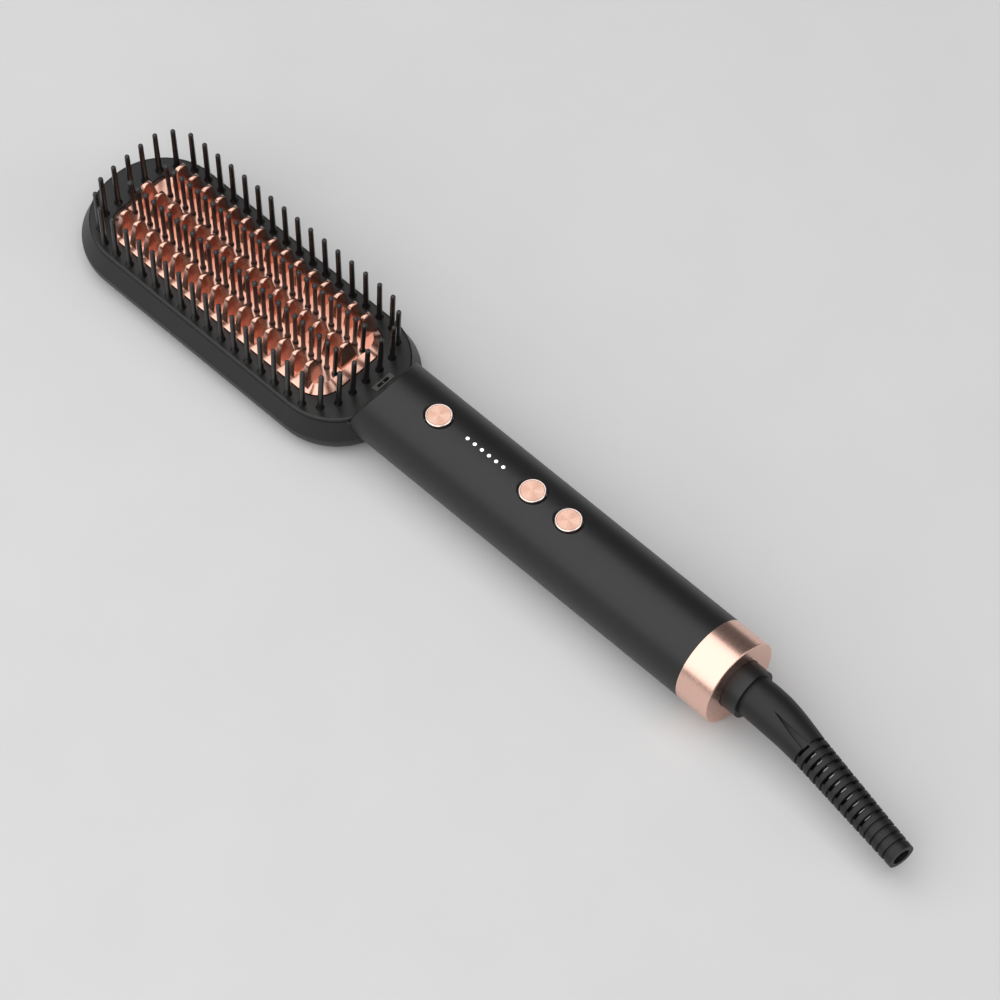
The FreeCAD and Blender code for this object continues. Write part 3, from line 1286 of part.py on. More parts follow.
def mains_leads():
    """Leads from the contact fingers back to the terminal block."""
    pair = []
    low = float(contact_top + d.mains_radius + d.contact_gap)
    high = low + float(d.mains_rise)
    end = float(from_seam(d.terminal_reach - d.terminal_length) + d.contact_gap)
    for side, reach in ((1.0, d.live_reach), (-1.0, d.neutral_reach)):
        start, y = float(from_seam(reach - d.slip_ring_width / 2.0)), float(d.mains_side) * side
        pair.append(wire([
            Vector(start, y, low),
            Vector(start - float(d.mains_start), y, low),
            Vector(end + float(d.mains_bend), y, high),
            Vector(end, y, high),
        ], float(d.mains_radius)))
    solids("mains_leads", pair)


# ---------------------------------------------------------------- strain relief

def boot_path(run):
    """Centre and direction at a length along the strain relief's axis."""
    straight, radius, bend = float(d.boot_straight), float(d.boot_bend_radius), math.radians(float(d.boot_bend))
    if run <= straight:
        return Vector(run, 0, 0), Vector(1, 0, 0)
    turn = min((run - straight) / radius, bend)
    direction = Vector(math.cos(turn), -math.sin(turn), 0)
    centre = Vector(straight + radius * math.sin(turn), -radius * (1 - math.cos(turn)), 0)
    return centre + direction * (run - straight - radius * turn), direction


def boot_ring(run, radius):
    centre, direction = boot_path(run)
    return Part.Wire([Part.Circle(centre, direction, radius).toShape()])


def strain_relief():
    """A flexible boot: a plain bent root, then grooves, open to the bore.

    It is made along X with its bend towards -Y, then turned about the handle.
    """
    bend_end = float(d.boot_straight) + float(d.boot_bend_radius) * math.radians(float(d.boot_bend))
    grooves_start = bend_end + float(d.boot_neck)
    pitch, width, count = float(d.groove_pitch), float(d.groove_width), int(float(d.groove_count))
    end = grooves_start + count * pitch + float(d.boot_collar)
    root_radius, first, last = float(d.boot_radius), float(d.rib_radius_start), float(d.rib_radius_end)
    cord = float(d.cord_radius)

    def radius_at(run):
        if run >= grooves_start:
            return first + (last - first) * (run - grooves_start) / (end - grooves_start)
        taper_start = grooves_start * TAPER_START
        return root_radius + (first - root_radius) * max(0.0, run - taper_start) / (grooves_start - taper_start)

    stations = [grooves_start * step / ROOT_STEPS for step in range(ROOT_STEPS + 1)]
    body = Part.makeLoft([boot_ring(run, radius_at(run)) for run in stations], True, False)
    bore = Part.makeLoft([boot_ring(run, cord) for run in stations], True, False)
    start, direction = boot_path(grooves_start)
    barrel = Part.makeCone(first, last, end - grooves_start, start, direction)
    straight_bore = Part.makeCylinder(cord, end - grooves_start + PAST, start, direction)

    cuts = [bore, straight_bore]
    for number in range(count):
        run = grooves_start + number * pitch
        centre, _direction = boot_path(run)
        outer = Part.makeCylinder(root_radius + PAST, width, centre, direction)
        core = Part.makeCylinder(radius_at(run + width / 2) - float(d.groove_depth), width, centre, direction)
        cuts.append(outer.cut(core))
        if number < int(float(d.windowed_grooves)):
            cuts.extend(boot_windows(centre, width))
    cuts.extend(boot_folds(grooves_start, root_radius))
    relief = body.fuse(barrel).cut(cuts).removeSplitter()
    relief.rotate(Vector(0, 0, 0), Vector(1, 0, 0), float(d.boot_roll))
    relief.translate(Vector(float(seam + d.cap_band + d.stub_out), 0, float(axis_height)))
    solids("strain_relief", [relief])


def boot_windows(centre, width):
    """Two boxes through a groove, at right angles to each other."""
    reach, wide = float(d.boot_radius) + PAST, float(d.window_width)
    boxes = []
    for quarter in range(2):
        box = Part.makeBox(width, wide, 2 * reach, Vector(0, -wide / 2, -reach))
        box.rotate(Vector(0, 0, 0), Vector(1, 0, 0), float(d.window_roll) + 90 * quarter)
        box.rotate(Vector(0, 0, 0), Vector(0, 0, 1), -float(d.boot_bend))
        box.translate(centre)
        boxes.append(box)
    return boxes


def boot_folds(grooves_start, root_radius):
    """A wedge-shaped fold on each face, which widens towards the grooves."""
    centre, _direction = boot_path(grooves_start)
    depth = float(d.rib_radius_start) - float(d.fold_depth)
    folds = []
    for side in (1, -1):
        outline = [Vector(x, y, side * depth) for x, y in FOLD_OUTLINE]
        face = Part.Face(Part.makePolygon(outline + [outline[0]]))
        wedge = face.extrude(Vector(0, 0, side * root_radius))
        wedge.rotate(Vector(0, 0, 0), Vector(0, 0, 1), -float(d.boot_bend))
        wedge.translate(centre)
        folds.append(wedge)
    return folds


ROOT_STEPS = 6
TAPER_START = 0.4
FOLD_OUTLINE = ((-16.0, 0.2), (-9.0, 0.9), (0.0, 2.2), (0.0, -1.2), (-6.0, -0.9))


# ---------------------------------------------------------------- screws

def screw(shank, length):
    """A screw with a plain round head and a cross slot."""
    radius, head, head_height = float(shank), float(d.screw_head), float(d.screw_head_height)
    body = lathe([(0.0, 0.0), (head, 0.0), (head, head_height),
                  (radius, head_height), (radius, length), (0.0, length)])
    long, wide, deep = float(d.slot_length), float(d.slot_width), float(d.slot_depth)
    slot = Part.makeBox(long, wide, deep, Vector(-long / 2, -wide / 2, 0.0))
    turned = Part.makeBox(wide, long, deep, Vector(-wide / 2, -long / 2, 0.0))
    return body.cut([slot, turned])


def screws():
    head_low = float(d.screw_sink - d.screw_head_height)
    single = screw(d.screw_radius, float(d.screw_length))
    solids("back_screws", [upright(single, float(x), float(y), head_low) for x, y in screw_places()])


def build():
    main_shell()
    comb_frame()
    outer_bristles()
    for label, row, count in INNER_COMBS:
        inner_comb(label, row, count)
    ion_outlet()
    heating_plate()
    fin_reach = plate_far - d.fin_far_inset
    fin_row("fin_row_far", d.fin_row, fin_reach, OUTER_FINS, d.outer_fin_width)
    fin_row("fin_row_middle", as_size(0.0), fin_reach + fin_pitch / 2.0, MIDDLE_FINS, d.middle_fin_width)
    fin_row("fin_row_near", -d.fin_row, fin_reach, OUTER_FINS, d.outer_fin_width)
    heater()
    heat_shield()
    heat_sensors()
    board_carrier()
    control_board()
    light_pipe()
    for label, reach in BUTTONS:
        button(label, reach)
    power_board()
    ion_maker()
    leads()
    tail_cap()
    swivel_bearing()
    swivel_spindle()
    contact_block()
    mains_leads()
    strain_relief()
    screws()


def check_and_write():
    doc.recompute()
    failed = [thing.Label for thing in doc.Objects if "Invalid" in thing.State or "Error" in thing.State]
    if failed:
        raise RuntimeError("failed objects: " + ", ".join(failed))
    for label, thing in pieces:
        shape = thing.Shape
        if shape.isNull() or not shape.isValid() or not shape.Solids:
            raise RuntimeError("bad shape: " + label)
    os.makedirs("parts", exist_ok=True)
    for label, thing in pieces:
        thing.Shape.exportStep(os.path.join("parts", label + ".step"))
        print("%-24s %3d solid(s) %10.1f mm3" % (label, len(thing.Shape.Solids), thing.Shape.Volume))
    whole = Part.makeCompound([thing.Shape for _label, thing in pieces]).optimalBoundingBox(False)
    print("pieces", len(pieces))
    print("box %.2f %.2f  %.2f %.2f  %.2f %.2f" % (whole.XMin, whole.XMax, whole.YMin, whole.YMax,
                                                  whole.ZMin, whole.ZMax))
    print("seam %.3f" % float(seam))


build()
check_and_write()
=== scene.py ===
# %% [markdown]
# # A heated straightening brush
#
# The brush lies on its back with its bristles up. Its hard pieces come from a packed
# CAD model, which is loaded as a fixed frame. This lesson gives each of them the finish
# of its real material, models the pieces whose shape is finer than the CAD, and sets up
# a plain studio. All lengths are metres, +Z is up, and +X points to the cord's end.

# %% Load the frame
import json
import math

import bmesh
import bpy
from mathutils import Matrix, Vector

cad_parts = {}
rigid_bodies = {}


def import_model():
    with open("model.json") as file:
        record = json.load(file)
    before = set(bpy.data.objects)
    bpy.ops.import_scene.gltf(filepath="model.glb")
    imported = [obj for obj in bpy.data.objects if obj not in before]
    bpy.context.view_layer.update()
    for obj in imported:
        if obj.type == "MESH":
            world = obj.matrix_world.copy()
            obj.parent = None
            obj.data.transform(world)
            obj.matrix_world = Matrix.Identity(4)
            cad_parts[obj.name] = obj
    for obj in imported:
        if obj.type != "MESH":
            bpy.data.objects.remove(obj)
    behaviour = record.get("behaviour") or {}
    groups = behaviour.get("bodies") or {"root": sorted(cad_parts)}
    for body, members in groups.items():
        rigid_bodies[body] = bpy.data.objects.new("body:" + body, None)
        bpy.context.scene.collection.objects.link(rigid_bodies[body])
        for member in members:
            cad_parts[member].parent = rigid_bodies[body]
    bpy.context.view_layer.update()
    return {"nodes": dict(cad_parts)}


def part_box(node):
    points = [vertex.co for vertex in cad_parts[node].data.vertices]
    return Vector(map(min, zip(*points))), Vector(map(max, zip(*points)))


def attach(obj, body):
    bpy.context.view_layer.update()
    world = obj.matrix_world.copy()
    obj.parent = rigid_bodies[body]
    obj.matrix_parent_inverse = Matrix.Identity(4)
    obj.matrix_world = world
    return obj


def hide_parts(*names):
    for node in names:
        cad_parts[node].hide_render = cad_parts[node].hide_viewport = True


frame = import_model()
nodes = frame["nodes"]
print("CAD nodes:", len(nodes))

# %% [markdown]
# The loader leaves every CAD node selected, and an operator acts on all that is
# selected. So the first step of each piece is to deselect everything.

# %% Start from nothing selected
MM = 0.001


def select_only(*things):
    """Leaves just these objects selected, with the first one active."""
    for thing in bpy.context.scene.objects:
        thing.select_set(False)
    for thing in things:
        thing.select_set(True)
    if things:
        bpy.context.view_layer.objects.active = things[0]


select_only()
print("selected:", len(bpy.context.selected_objects))

# %% [markdown]
# ## Colours and nodes
#
# A colour is written as the sRGB hex value that a screen shows. Blender's shaders work
# in linear light, so one function turns the hex value into linear numbers. A second one
# adds a node with its settings, values and links, which keeps each finish short to read.

# %% Colour and node helpers
def linear(code):
    """Linear RGBA of an sRGB hex colour."""
    channels = [int(code[i:i + 2], 16) / 255 for i in (1, 3, 5)]
    spread = [c / 12.92 if c <= 0.04045 else ((c + 0.055) / 1.055) ** 2.4 for c in channels]
    return (*spread, 1.0)


def add_node(material, kind, settings=None, values=None, links=None):
    """Adds a shader node, sets it, and links other nodes' outputs to its inputs."""
    node = material.node_tree.nodes.new("ShaderNode" + kind)
    for name, value in (settings or {}).items():
        setattr(node, name, value)
    for name, value in (values or {}).items():
        node.inputs[name].default_value = value
    for name, output in (links or {}).items():
        material.node_tree.links.new(output, node.inputs[name])
    return node


def new_finish(name, **sockets):
    """A material with its shader, and constants on the shader's own sockets."""
    material = bpy.data.materials.new(name)
    material.use_nodes = True
    shader = material.node_tree.nodes["Principled BSDF"]
    for socket, value in sockets.items():
        shader.inputs[socket.replace("_", " ")].default_value = value
    return material, shader


print("charcoal in linear light:", [round(c, 4) for c in linear("#222223")])

# %% [markdown]
# ## Patterns
#
# No real surface has one flat colour. Moulded plastic has a fine grain, and metal has
# the marks of its tool. Each pattern below reads Object coordinates, so it stays on the
# piece, and its scale is worked out from a size in millimetres. Noise keeps mostly
# between 0.3 and 0.7, so the gloss is spread over that stretch. The Mix node has one set
# of sockets for each kind of data, so the ones for colours are picked by their numbers.

# %% Pattern helpers
NOISE_LOW = 0.3
NOISE_HIGH = 0.7
MIX_SHARE = 0
MIX_FIRST = 6
MIX_SECOND = 7
MIX_RESULT = 2


def noise_at(material, size_mm, detail=3.0, stretch=(1.0, 1.0, 1.0)):
    """Noise whose patches are this many millimetres across."""
    place = add_node(material, "TexCoord")
    fitted = add_node(material, "Mapping", values={"Scale": stretch},
                      links={"Vector": place.outputs["Object"]})
    return add_node(material, "TexNoise",
                    values={"Scale": 1 / (size_mm * MM), "Detail": detail},
                    links={"Vector": fitted.outputs["Vector"]})


def two_tones(material, shader, pattern, first, second):
    """Mixes two close colours by a pattern, into the shader's base colour."""
    mix = add_node(material, "Mix", {"data_type": "RGBA"},
                   {MIX_FIRST: linear(first), MIX_SECOND: linear(second)},
                   {MIX_SHARE: pattern})
    material.node_tree.links.new(mix.outputs[MIX_RESULT], shader.inputs["Base Color"])
    return mix


def uneven_gloss(material, shader, pattern, smooth, rough):
    """Lets a pattern move the roughness between two values."""
    spread = add_node(material, "MapRange",
                      values={"From Min": NOISE_LOW, "From Max": NOISE_HIGH,
                              "To Min": smooth, "To Max": rough},
                      links={"Value": pattern})
    material.node_tree.links.new(spread.outputs["Result"], shader.inputs["Roughness"])


def relief(material, shader, pattern, depth_mm, strength=1.0):
    """Raises the surface by a pattern, to a depth in millimetres."""
    bump = add_node(material, "Bump", values={"Strength": strength, "Distance": depth_mm * MM},
                    links={"Height": pattern})
    material.node_tree.links.new(bump.outputs["Normal"], shader.inputs["Normal"])


print("patches of 1 mm have the noise scale", 1 / MM)

# %% [markdown]
# ## Soft-touch paint on the shell
#
# The handle and the head's tray are moulded in ABS and sprayed with a soft-touch paint.
# The paint is almost black, feels dry, and spreads a highlight into a wide soft band. One
# flat black would look empty, so two close blacks lie in wide patches, and a grain moves
# the gloss. The real grain is near 0.1 mm, too fine to show here, so it is drawn at
# 0.5 mm. Solid ABS has an IOR near 1.5, and matt paint mirrors a little less.

# %% Soft-touch painted ABS
SHELL_DARK = "#161617"
SHELL_LIGHT = "#1c1c1d"
soft_touch, shader = new_finish("soft-touch painted ABS", Roughness=0.42, IOR=1.46)
cloud = noise_at(soft_touch, size_mm=6.0)
grain = noise_at(soft_touch, size_mm=0.5, detail=2.0)
two_tones(soft_touch, shader, cloud.outputs["Fac"], SHELL_DARK, SHELL_LIGHT)
uneven_gloss(soft_touch, shader, grain.outputs["Fac"], smooth=0.40, rough=0.46)
relief(soft_touch, shader, grain.outputs["Fac"], depth_mm=0.02, strength=0.25)
print(soft_touch.name, "nodes:", len(soft_touch.node_tree.nodes))

# %% [markdown]
# ## Heat-resistant nylon
#
# The comb frame and the bristles stand next to a plate at 200 degrees, so they are
# glass-filled nylon. The frame comes out of a smooth mould and is a little shinier than
# the shell. The bristles are the same black, and turn slightly paler over their top
# 1.2 mm. The tips could be pieces of their own. Here a point's height picks its tone, so a
# bristle stays one piece.

# %% Glass-filled nylon
FRAME_DARK = "#151514"
FRAME_LIGHT = "#1b1a19"
frame_nylon, shader = new_finish("moulded glass-filled nylon", Roughness=0.34, IOR=1.45)
cloud = noise_at(frame_nylon, size_mm=4.0)
grain = noise_at(frame_nylon, size_mm=0.4, detail=2.0)
two_tones(frame_nylon, shader, cloud.outputs["Fac"], FRAME_DARK, FRAME_LIGHT)
uneven_gloss(frame_nylon, shader, grain.outputs["Fac"], smooth=0.30, rough=0.38)
relief(frame_nylon, shader, grain.outputs["Fac"], depth_mm=0.015, strength=0.2)

BRISTLE_BLACK = "#121212"
BRISTLE_TIP = "#2b2a2a"
TIP_LOW = 35.2 * MM
TIP_HIGH = 36.4 * MM
bristle_nylon, shader = new_finish("polished black nylon", Roughness=0.3, IOR=1.48)
place = add_node(bristle_nylon, "TexCoord")
height = add_node(bristle_nylon, "SeparateXYZ", links={"Vector": place.outputs["Object"]})
tip_share = add_node(bristle_nylon, "MapRange", values={"From Min": TIP_LOW, "From Max": TIP_HIGH},
                     links={"Value": height.outputs["Z"]})
two_tones(bristle_nylon, shader, tip_share.outputs["Result"], BRISTLE_BLACK, BRISTLE_TIP)
wear = noise_at(bristle_nylon, size_mm=0.6)
uneven_gloss(bristle_nylon, shader, wear.outputs["Fac"], smooth=0.24, rough=0.36)
print(frame_nylon.name, "and", bristle_nylon.name)

# %% [markdown]
# ## Rose-gold coating on the heating plate
#
# The plate and its fins are cast aluminium with a rose-gold coating, which is polished
# like metal. One reflection keeps the coating pale. Between two fins the light bounces
# many times, and each bounce takes out more blue, so the gaps glow orange. That needs no
# paint: a metallic shader with a warm base colour does it by itself. The hard ceramic
# glaze over it is a coat on the same shader, with an IOR of 1.9, and it whitens the
# highlights on the crowns.

# %% Rose-gold coated aluminium
PLATE_WARM = "#e29f86"
PLATE_PALE = "#e7b09a"
plate_coat, shader = new_finish("rose-gold coated aluminium", Metallic=0.96, Roughness=0.24,
                                Coat_Weight=1.0, Coat_Roughness=0.12, Coat_IOR=1.9)
cloud = noise_at(plate_coat, size_mm=3.0)
cast_skin = noise_at(plate_coat, size_mm=1.4, detail=1.0, stretch=(1.0, 1.0, 0.15))
two_tones(plate_coat, shader, cloud.outputs["Fac"], PLATE_WARM, PLATE_PALE)
uneven_gloss(plate_coat, shader, cast_skin.outputs["Fac"], smooth=0.22, rough=0.26)
relief(plate_coat, shader, cast_skin.outputs["Fac"], depth_mm=0.003, strength=0.1)
print(plate_coat.name)

# %% [markdown]
# ## Brushed rose-gold band
#
# The tail cap is aluminium that is brushed round the handle, then anodised. The brush
# leaves hair-fine lines around the band. An anisotropic shader could smear the highlight
# along them, but lines that are drawn also show up close. Noise squeezed along X and
# stretched across it gives such lines, here 0.15 mm apart.

# %% Brushed anodised aluminium
BAND_WARM = "#efc3b2"
BAND_PALE = "#f3cbbc"
band_metal, shader = new_finish("brushed rose anodised aluminium", Metallic=1.0, Roughness=0.26)
lines = noise_at(band_metal, size_mm=0.15, detail=1.0, stretch=(1.0, 0.02, 0.02))
two_tones(band_metal, shader, lines.outputs["Fac"], BAND_WARM, BAND_PALE)
uneven_gloss(band_metal, shader, lines.outputs["Fac"], smooth=0.26, rough=0.30)
relief(band_metal, shader, lines.outputs["Fac"], depth_mm=0.003, strength=0.08)
print(band_metal.name)

# %% [markdown]
# ## Spun rose-gold buttons
#
# Each button's face is turned on a lathe, which leaves fine rings around its centre.
# Such rings throw the light into bright and dark wedges. Here three of each are painted
# into the base colour, as painted highlight and painted shade. The buttons carry their
# own UV map, in millimetres from the middle of the face, so one finish fits all three.
# The rings are 0.1 mm apart on a real button and are drawn 0.3 mm apart, to show. A wave
# texture of scale 1 repeats every pi / 10, which gives the scale. The rim's chamfer and
# land are painted pale, as a painted highlight, and the groove inside them is painted
# dark, as painted shade.

# %% Spun anodised aluminium
# The two wedge colours are painted highlight and painted shade. The rim colour is a painted
# highlight, and the groove colour is painted shade.
SPUN_PAINTED_SHADE = "#dcae9a"
SPUN_PAINTED_HIGHLIGHT = "#e8c1ae"
RIM_PAINTED_HIGHLIGHT = "#fbe8de"
GROOVE_PAINTED_SHADE = "#8a5f50"
PAINTED_RIM_INNER_MM = 4.17
PAINTED_GROOVE_MIDDLE_MM = 4.1
PAINTED_GROOVE_HALF_MM = 0.06
RING_SPACING_MM = 0.3
RING_WAVER = 0.4
PAINTED_WEDGES = 3.0
spun_metal, shader = new_finish("spun rose anodised aluminium", Metallic=1.0, Roughness=0.3)
flat = add_node(spun_metal, "TexCoord")
across = add_node(spun_metal, "SeparateXYZ", links={"Vector": flat.outputs["UV"]})
turn = add_node(spun_metal, "Math", {"operation": "ARCTAN2"},
                links={0: across.outputs["Y"], 1: across.outputs["X"]})
painted_wedge_turn = add_node(spun_metal, "Math", {"operation": "MULTIPLY"}, {1: PAINTED_WEDGES},
                      {0: turn.outputs[0]})
wave = add_node(spun_metal, "Math", {"operation": "SINE"}, links={0: painted_wedge_turn.outputs[0]})
painted_wedge_share = add_node(spun_metal, "MapRange", values={"From Min": -1.0, "From Max": 1.0},
                 links={"Value": wave.outputs[0]})
rings = add_node(spun_metal, "TexWave", {"wave_type": "RINGS", "rings_direction": "SPHERICAL"},
                 {"Scale": math.pi / (10 * RING_SPACING_MM), "Distortion": RING_WAVER},
                 {"Vector": flat.outputs["UV"]})
# The wedges are painted highlight and painted shade, mixed into the base colour by the angle round
# the face.
spun = two_tones(spun_metal, shader, painted_wedge_share.outputs["Result"], SPUN_PAINTED_SHADE, SPUN_PAINTED_HIGHLIGHT)
reach = add_node(spun_metal, "VectorMath", {"operation": "LENGTH"}, links={0: flat.outputs["UV"]})
# The ring over the groove is painted dark, as painted shade in the recess.
in_painted_groove = add_node(spun_metal, "Math", {"operation": "COMPARE"},
                     {1: PAINTED_GROOVE_MIDDLE_MM, 2: PAINTED_GROOVE_HALF_MM}, {0: reach.outputs["Value"]})
groove_painted = add_node(spun_metal, "Mix", {"data_type": "RGBA"}, {MIX_SECOND: linear(GROOVE_PAINTED_SHADE)},
                   {MIX_SHARE: in_painted_groove.outputs[0], MIX_FIRST: spun.outputs[MIX_RESULT]})
# The chamfer and land beyond this radius are painted pale, as a painted highlight.
on_painted_rim = add_node(spun_metal, "Math", {"operation": "GREATER_THAN"}, {1: PAINTED_RIM_INNER_MM},
                  {0: reach.outputs["Value"]})
rim_painted = add_node(spun_metal, "Mix", {"data_type": "RGBA"}, {MIX_SECOND: linear(RIM_PAINTED_HIGHLIGHT)},
                  {MIX_SHARE: on_painted_rim.outputs[0], MIX_FIRST: groove_painted.outputs[MIX_RESULT]})
spun_metal.node_tree.links.new(rim_painted.outputs[MIX_RESULT], shader.inputs["Base Color"])
uneven_gloss(spun_metal, shader, rings.outputs["Fac"], smooth=0.24, rough=0.34)
relief(spun_metal, shader, rings.outputs["Fac"], depth_mm=0.01, strength=0.35)
print(spun_metal.name, "rings every", RING_SPACING_MM, "mm")

# %% [markdown]
# ## Strain relief and swivel
#
# The strain relief is soft black PVC, matt from its mould, and the swivel stub is smooth
# black nylon. Both are nearly as dark as the shell, but the PVC has no highlight band. A
# bump could fake the grooves. They are cut in the CAD, so the finish only adds the grain
# of the mould, and the marks of turning on the stub.

# %% Soft PVC and swivel nylon
PVC_DARK = "#121212"
PVC_LIGHT = "#1a1a1a"
boot_pvc, shader = new_finish("moulded soft PVC", Roughness=0.5, IOR=1.42)
cloud = noise_at(boot_pvc, size_mm=2.5)
grain = noise_at(boot_pvc, size_mm=0.35, detail=2.0)
two_tones(boot_pvc, shader, cloud.outputs["Fac"], PVC_DARK, PVC_LIGHT)
uneven_gloss(boot_pvc, shader, grain.outputs["Fac"], smooth=0.44, rough=0.56)
relief(boot_pvc, shader, grain.outputs["Fac"], depth_mm=0.02, strength=0.3)

SWIVEL_DARK = "#151515"
SWIVEL_LIGHT = "#1c1c1c"
swivel_nylon, shader = new_finish("turned black nylon", Roughness=0.4, IOR=1.46)
turned = noise_at(swivel_nylon, size_mm=0.3, stretch=(1.0, 0.05, 0.05))
two_tones(swivel_nylon, shader, turned.outputs["Fac"], SWIVEL_DARK, SWIVEL_LIGHT)
uneven_gloss(swivel_nylon, shader, turned.outputs["Fac"], smooth=0.36, rough=0.44)
print(boot_pvc.name, "and", swivel_nylon.name)

# %% [markdown]
# ## Lit dots
#
# Six chips under the shell shine through a polycarbonate light pipe. The pipe is smoked,
# so that it looks black where no chip shines. Seen from outside, each column's end is a
# small white dot in a dark ring. A lamp behind clear plastic could light it, but that is
# slow and grainy. The dot glows evenly, so its shader gives off white light, at a
# strength that shows as white and not more.

# %% Lit and smoked polycarbonate
LIT_CORE = "#ffffff"
LIT_EDGE = "#eef3f6"
LIT_STRENGTH = 0.85
lit_pipe, shader = new_finish("lit polycarbonate", Roughness=0.2, IOR=1.58)
shader.inputs["Emission Color"].default_value = linear(LIT_CORE)
shader.inputs["Emission Strength"].default_value = LIT_STRENGTH
haze = noise_at(lit_pipe, size_mm=0.8)
two_tones(lit_pipe, shader, haze.outputs["Fac"], LIT_EDGE, LIT_CORE)

SMOKED_DARK = "#1a1b1c"
SMOKED_PALE = "#232425"
smoked_pipe, shader = new_finish("smoked polycarbonate", Roughness=0.18, IOR=1.58)
haze = noise_at(smoked_pipe, size_mm=1.2)
two_tones(smoked_pipe, shader, haze.outputs["Fac"], SMOKED_DARK, SMOKED_PALE)
uneven_gloss(smoked_pipe, shader, haze.outputs["Fac"], smooth=0.15, rough=0.22)
print(lit_pipe.name, "and", smoked_pipe.name)

# %% [markdown]
# ## Pieces inside and small parts
#
# What lies inside is seldom seen, but a cut-open view shows it, so each part has its own
# real material. Each could have its own nodes. They share one recipe instead: two close
# tones in patches, an uneven gloss and a fine relief.

# %% Finishes of the inner parts
GLOSS_SPREAD = 0.04
RELIEF_STRENGTH = 0.3


def plain_part(name, first, second, patch_mm, gloss, metallic=0.0, depth_mm=0.01):
    """Two tones in patches, with a gloss that varies a little."""
    material, shader = new_finish(name, Metallic=metallic, Roughness=gloss)
    patches = noise_at(material, size_mm=patch_mm)
    two_tones(material, shader, patches.outputs["Fac"], first, second)
    uneven_gloss(material, shader, patches.outputs["Fac"],
                 smooth=gloss - GLOSS_SPREAD, rough=gloss + GLOSS_SPREAD)
    relief(material, shader, patches.outputs["Fac"], depth_mm, RELIEF_STRENGTH)
    return material


finishes = {
    "shell_plastic": soft_touch,
    "frame_plastic": frame_nylon,
    "bristle_plastic": bristle_nylon,
    "rose_gold": plate_coat,
    "rose_metal": band_metal,
    "boot_rubber": boot_pvc,
    "swivel_plastic": swivel_nylon,
    "clear_plastic": smoked_pipe,
    "board": plain_part("glass-epoxy circuit board", "#1d5a3a", "#246844", patch_mm=3.0, gloss=0.4),
    "inner_plastic": plain_part("heat-resistant white polyamide", "#b9b4a8", "#c6c2b7",
                                patch_mm=2.0, gloss=0.5),
    "black_part": plain_part("moulded epoxy resin", "#191919", "#222222", patch_mm=1.0, gloss=0.45),
    "steel": plain_part("zinc-plated steel", "#b4b6b9", "#c9cbcd",
                        patch_mm=0.8, gloss=0.32, metallic=1.0),
    "brass": plain_part("rolled brass", "#c7a35a", "#d6b46c",
                        patch_mm=1.0, gloss=0.28, metallic=1.0),
    "film": plain_part("polyimide film", "#a3651c", "#b67526", patch_mm=2.0, gloss=0.25),
    "ceramic": plain_part("sintered barium titanate", "#6b6a66", "#7b7a75",
                          patch_mm=0.6, gloss=0.7, depth_mm=0.02),
    "wire_red": plain_part("silicone wire sleeve", "#8f1f1b", "#a32a24", patch_mm=1.5, gloss=0.55),
    "outlet_plastic": plain_part("grey moulded polyamide", "#454442", "#4e4d4b",
                                 patch_mm=0.8, gloss=0.42),
    "aluminium_strip": plain_part("rolled aluminium", "#c9c9cb", "#dadadc",
                                  patch_mm=1.2, gloss=0.3, metallic=1.0),
}
for slot, finish in sorted(finishes.items()):
    print("%-16s %s" % (slot, finish.name))

# %% [markdown]
# ## Dress the CAD pieces
#
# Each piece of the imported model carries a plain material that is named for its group.
# These could be changed one by one. Here one table gives the finish for each group, so a
# finish is changed in one spot. The light chips are in the light pipe's group but aren't
# made of the same stuff, so they get their own finish.

# %% Give each CAD node its finish
def paint(thing, finish):
    """Leaves one material slot on an object, with this finish in it."""
    thing.data.materials.clear()
    thing.data.materials.append(finish)


chip_silicone = plain_part("phosphor silicone", "#d8c76a", "#e4d68a", patch_mm=0.6, gloss=0.4)
for name, node in sorted(nodes.items()):
    slot = node.data.materials[0].name.split(".")[0]
    paint(node, chip_silicone if name == "light_chips" else finishes[slot])
print("painted:", len(nodes))

# %% [markdown]
# ## Buttons
#
# A real button is a thin turned cap with a bright chamfer round a slightly sunk face. It
# sits on a stem, and a flange keeps it in the shell. It could be spun from a profile.
# Here it starts as a cylinder and is shaped by insets and moves of its end faces, because
# each step can then be seen as it would be by hand.

# %% Helpers for shaping a mesh by its faces
FACES_THAT_WAY = 0.9


def new_cylinder(name, radius, start, end, sides):
    """A capped cylinder between two heights, standing at the world's origin."""
    select_only()
    bpy.ops.mesh.primitive_cylinder_add(vertices=sides, radius=radius, depth=end - start,
                                        location=(0, 0, (start + end) / 2))
    thing = bpy.context.active_object
    thing.name = name
    thing.data.name = name
    bpy.ops.object.transform_apply(location=True, rotation=True, scale=True)
    return thing


def pick_end(thing, up):
    """Selects the end face that points up (1) or down (-1), in edit mode."""
    bpy.ops.object.mode_set(mode="EDIT")
    bpy.ops.mesh.select_mode(type="FACE")
    mesh = bmesh.from_edit_mesh(thing.data)
    for face in mesh.faces:
        face.select_set(face.normal.z * up > FACES_THAT_WAY)
    mesh.select_flush_mode()
    bmesh.update_edit_mesh(thing.data)


def step_in(inset, rise):
    """Insets the selected face, then moves it up or down."""
    bpy.ops.mesh.inset(thickness=inset, depth=0.0)
    bpy.ops.transform.translate(value=(0, 0, rise))


print("end faces are those within", round(math.degrees(math.acos(FACES_THAT_WAY))), "degrees of Z")

# %% [markdown]
# A real edge is never knife sharp, and a sharp one catches no light. Each edge could be
# bevelled by hand. A bevel modifier finds all the sharp ones by their angle, and is then
# applied.

# %% Helper for rounded edges
EDGE_ROUND_MM = 0.02
EDGE_SEGMENTS = 2


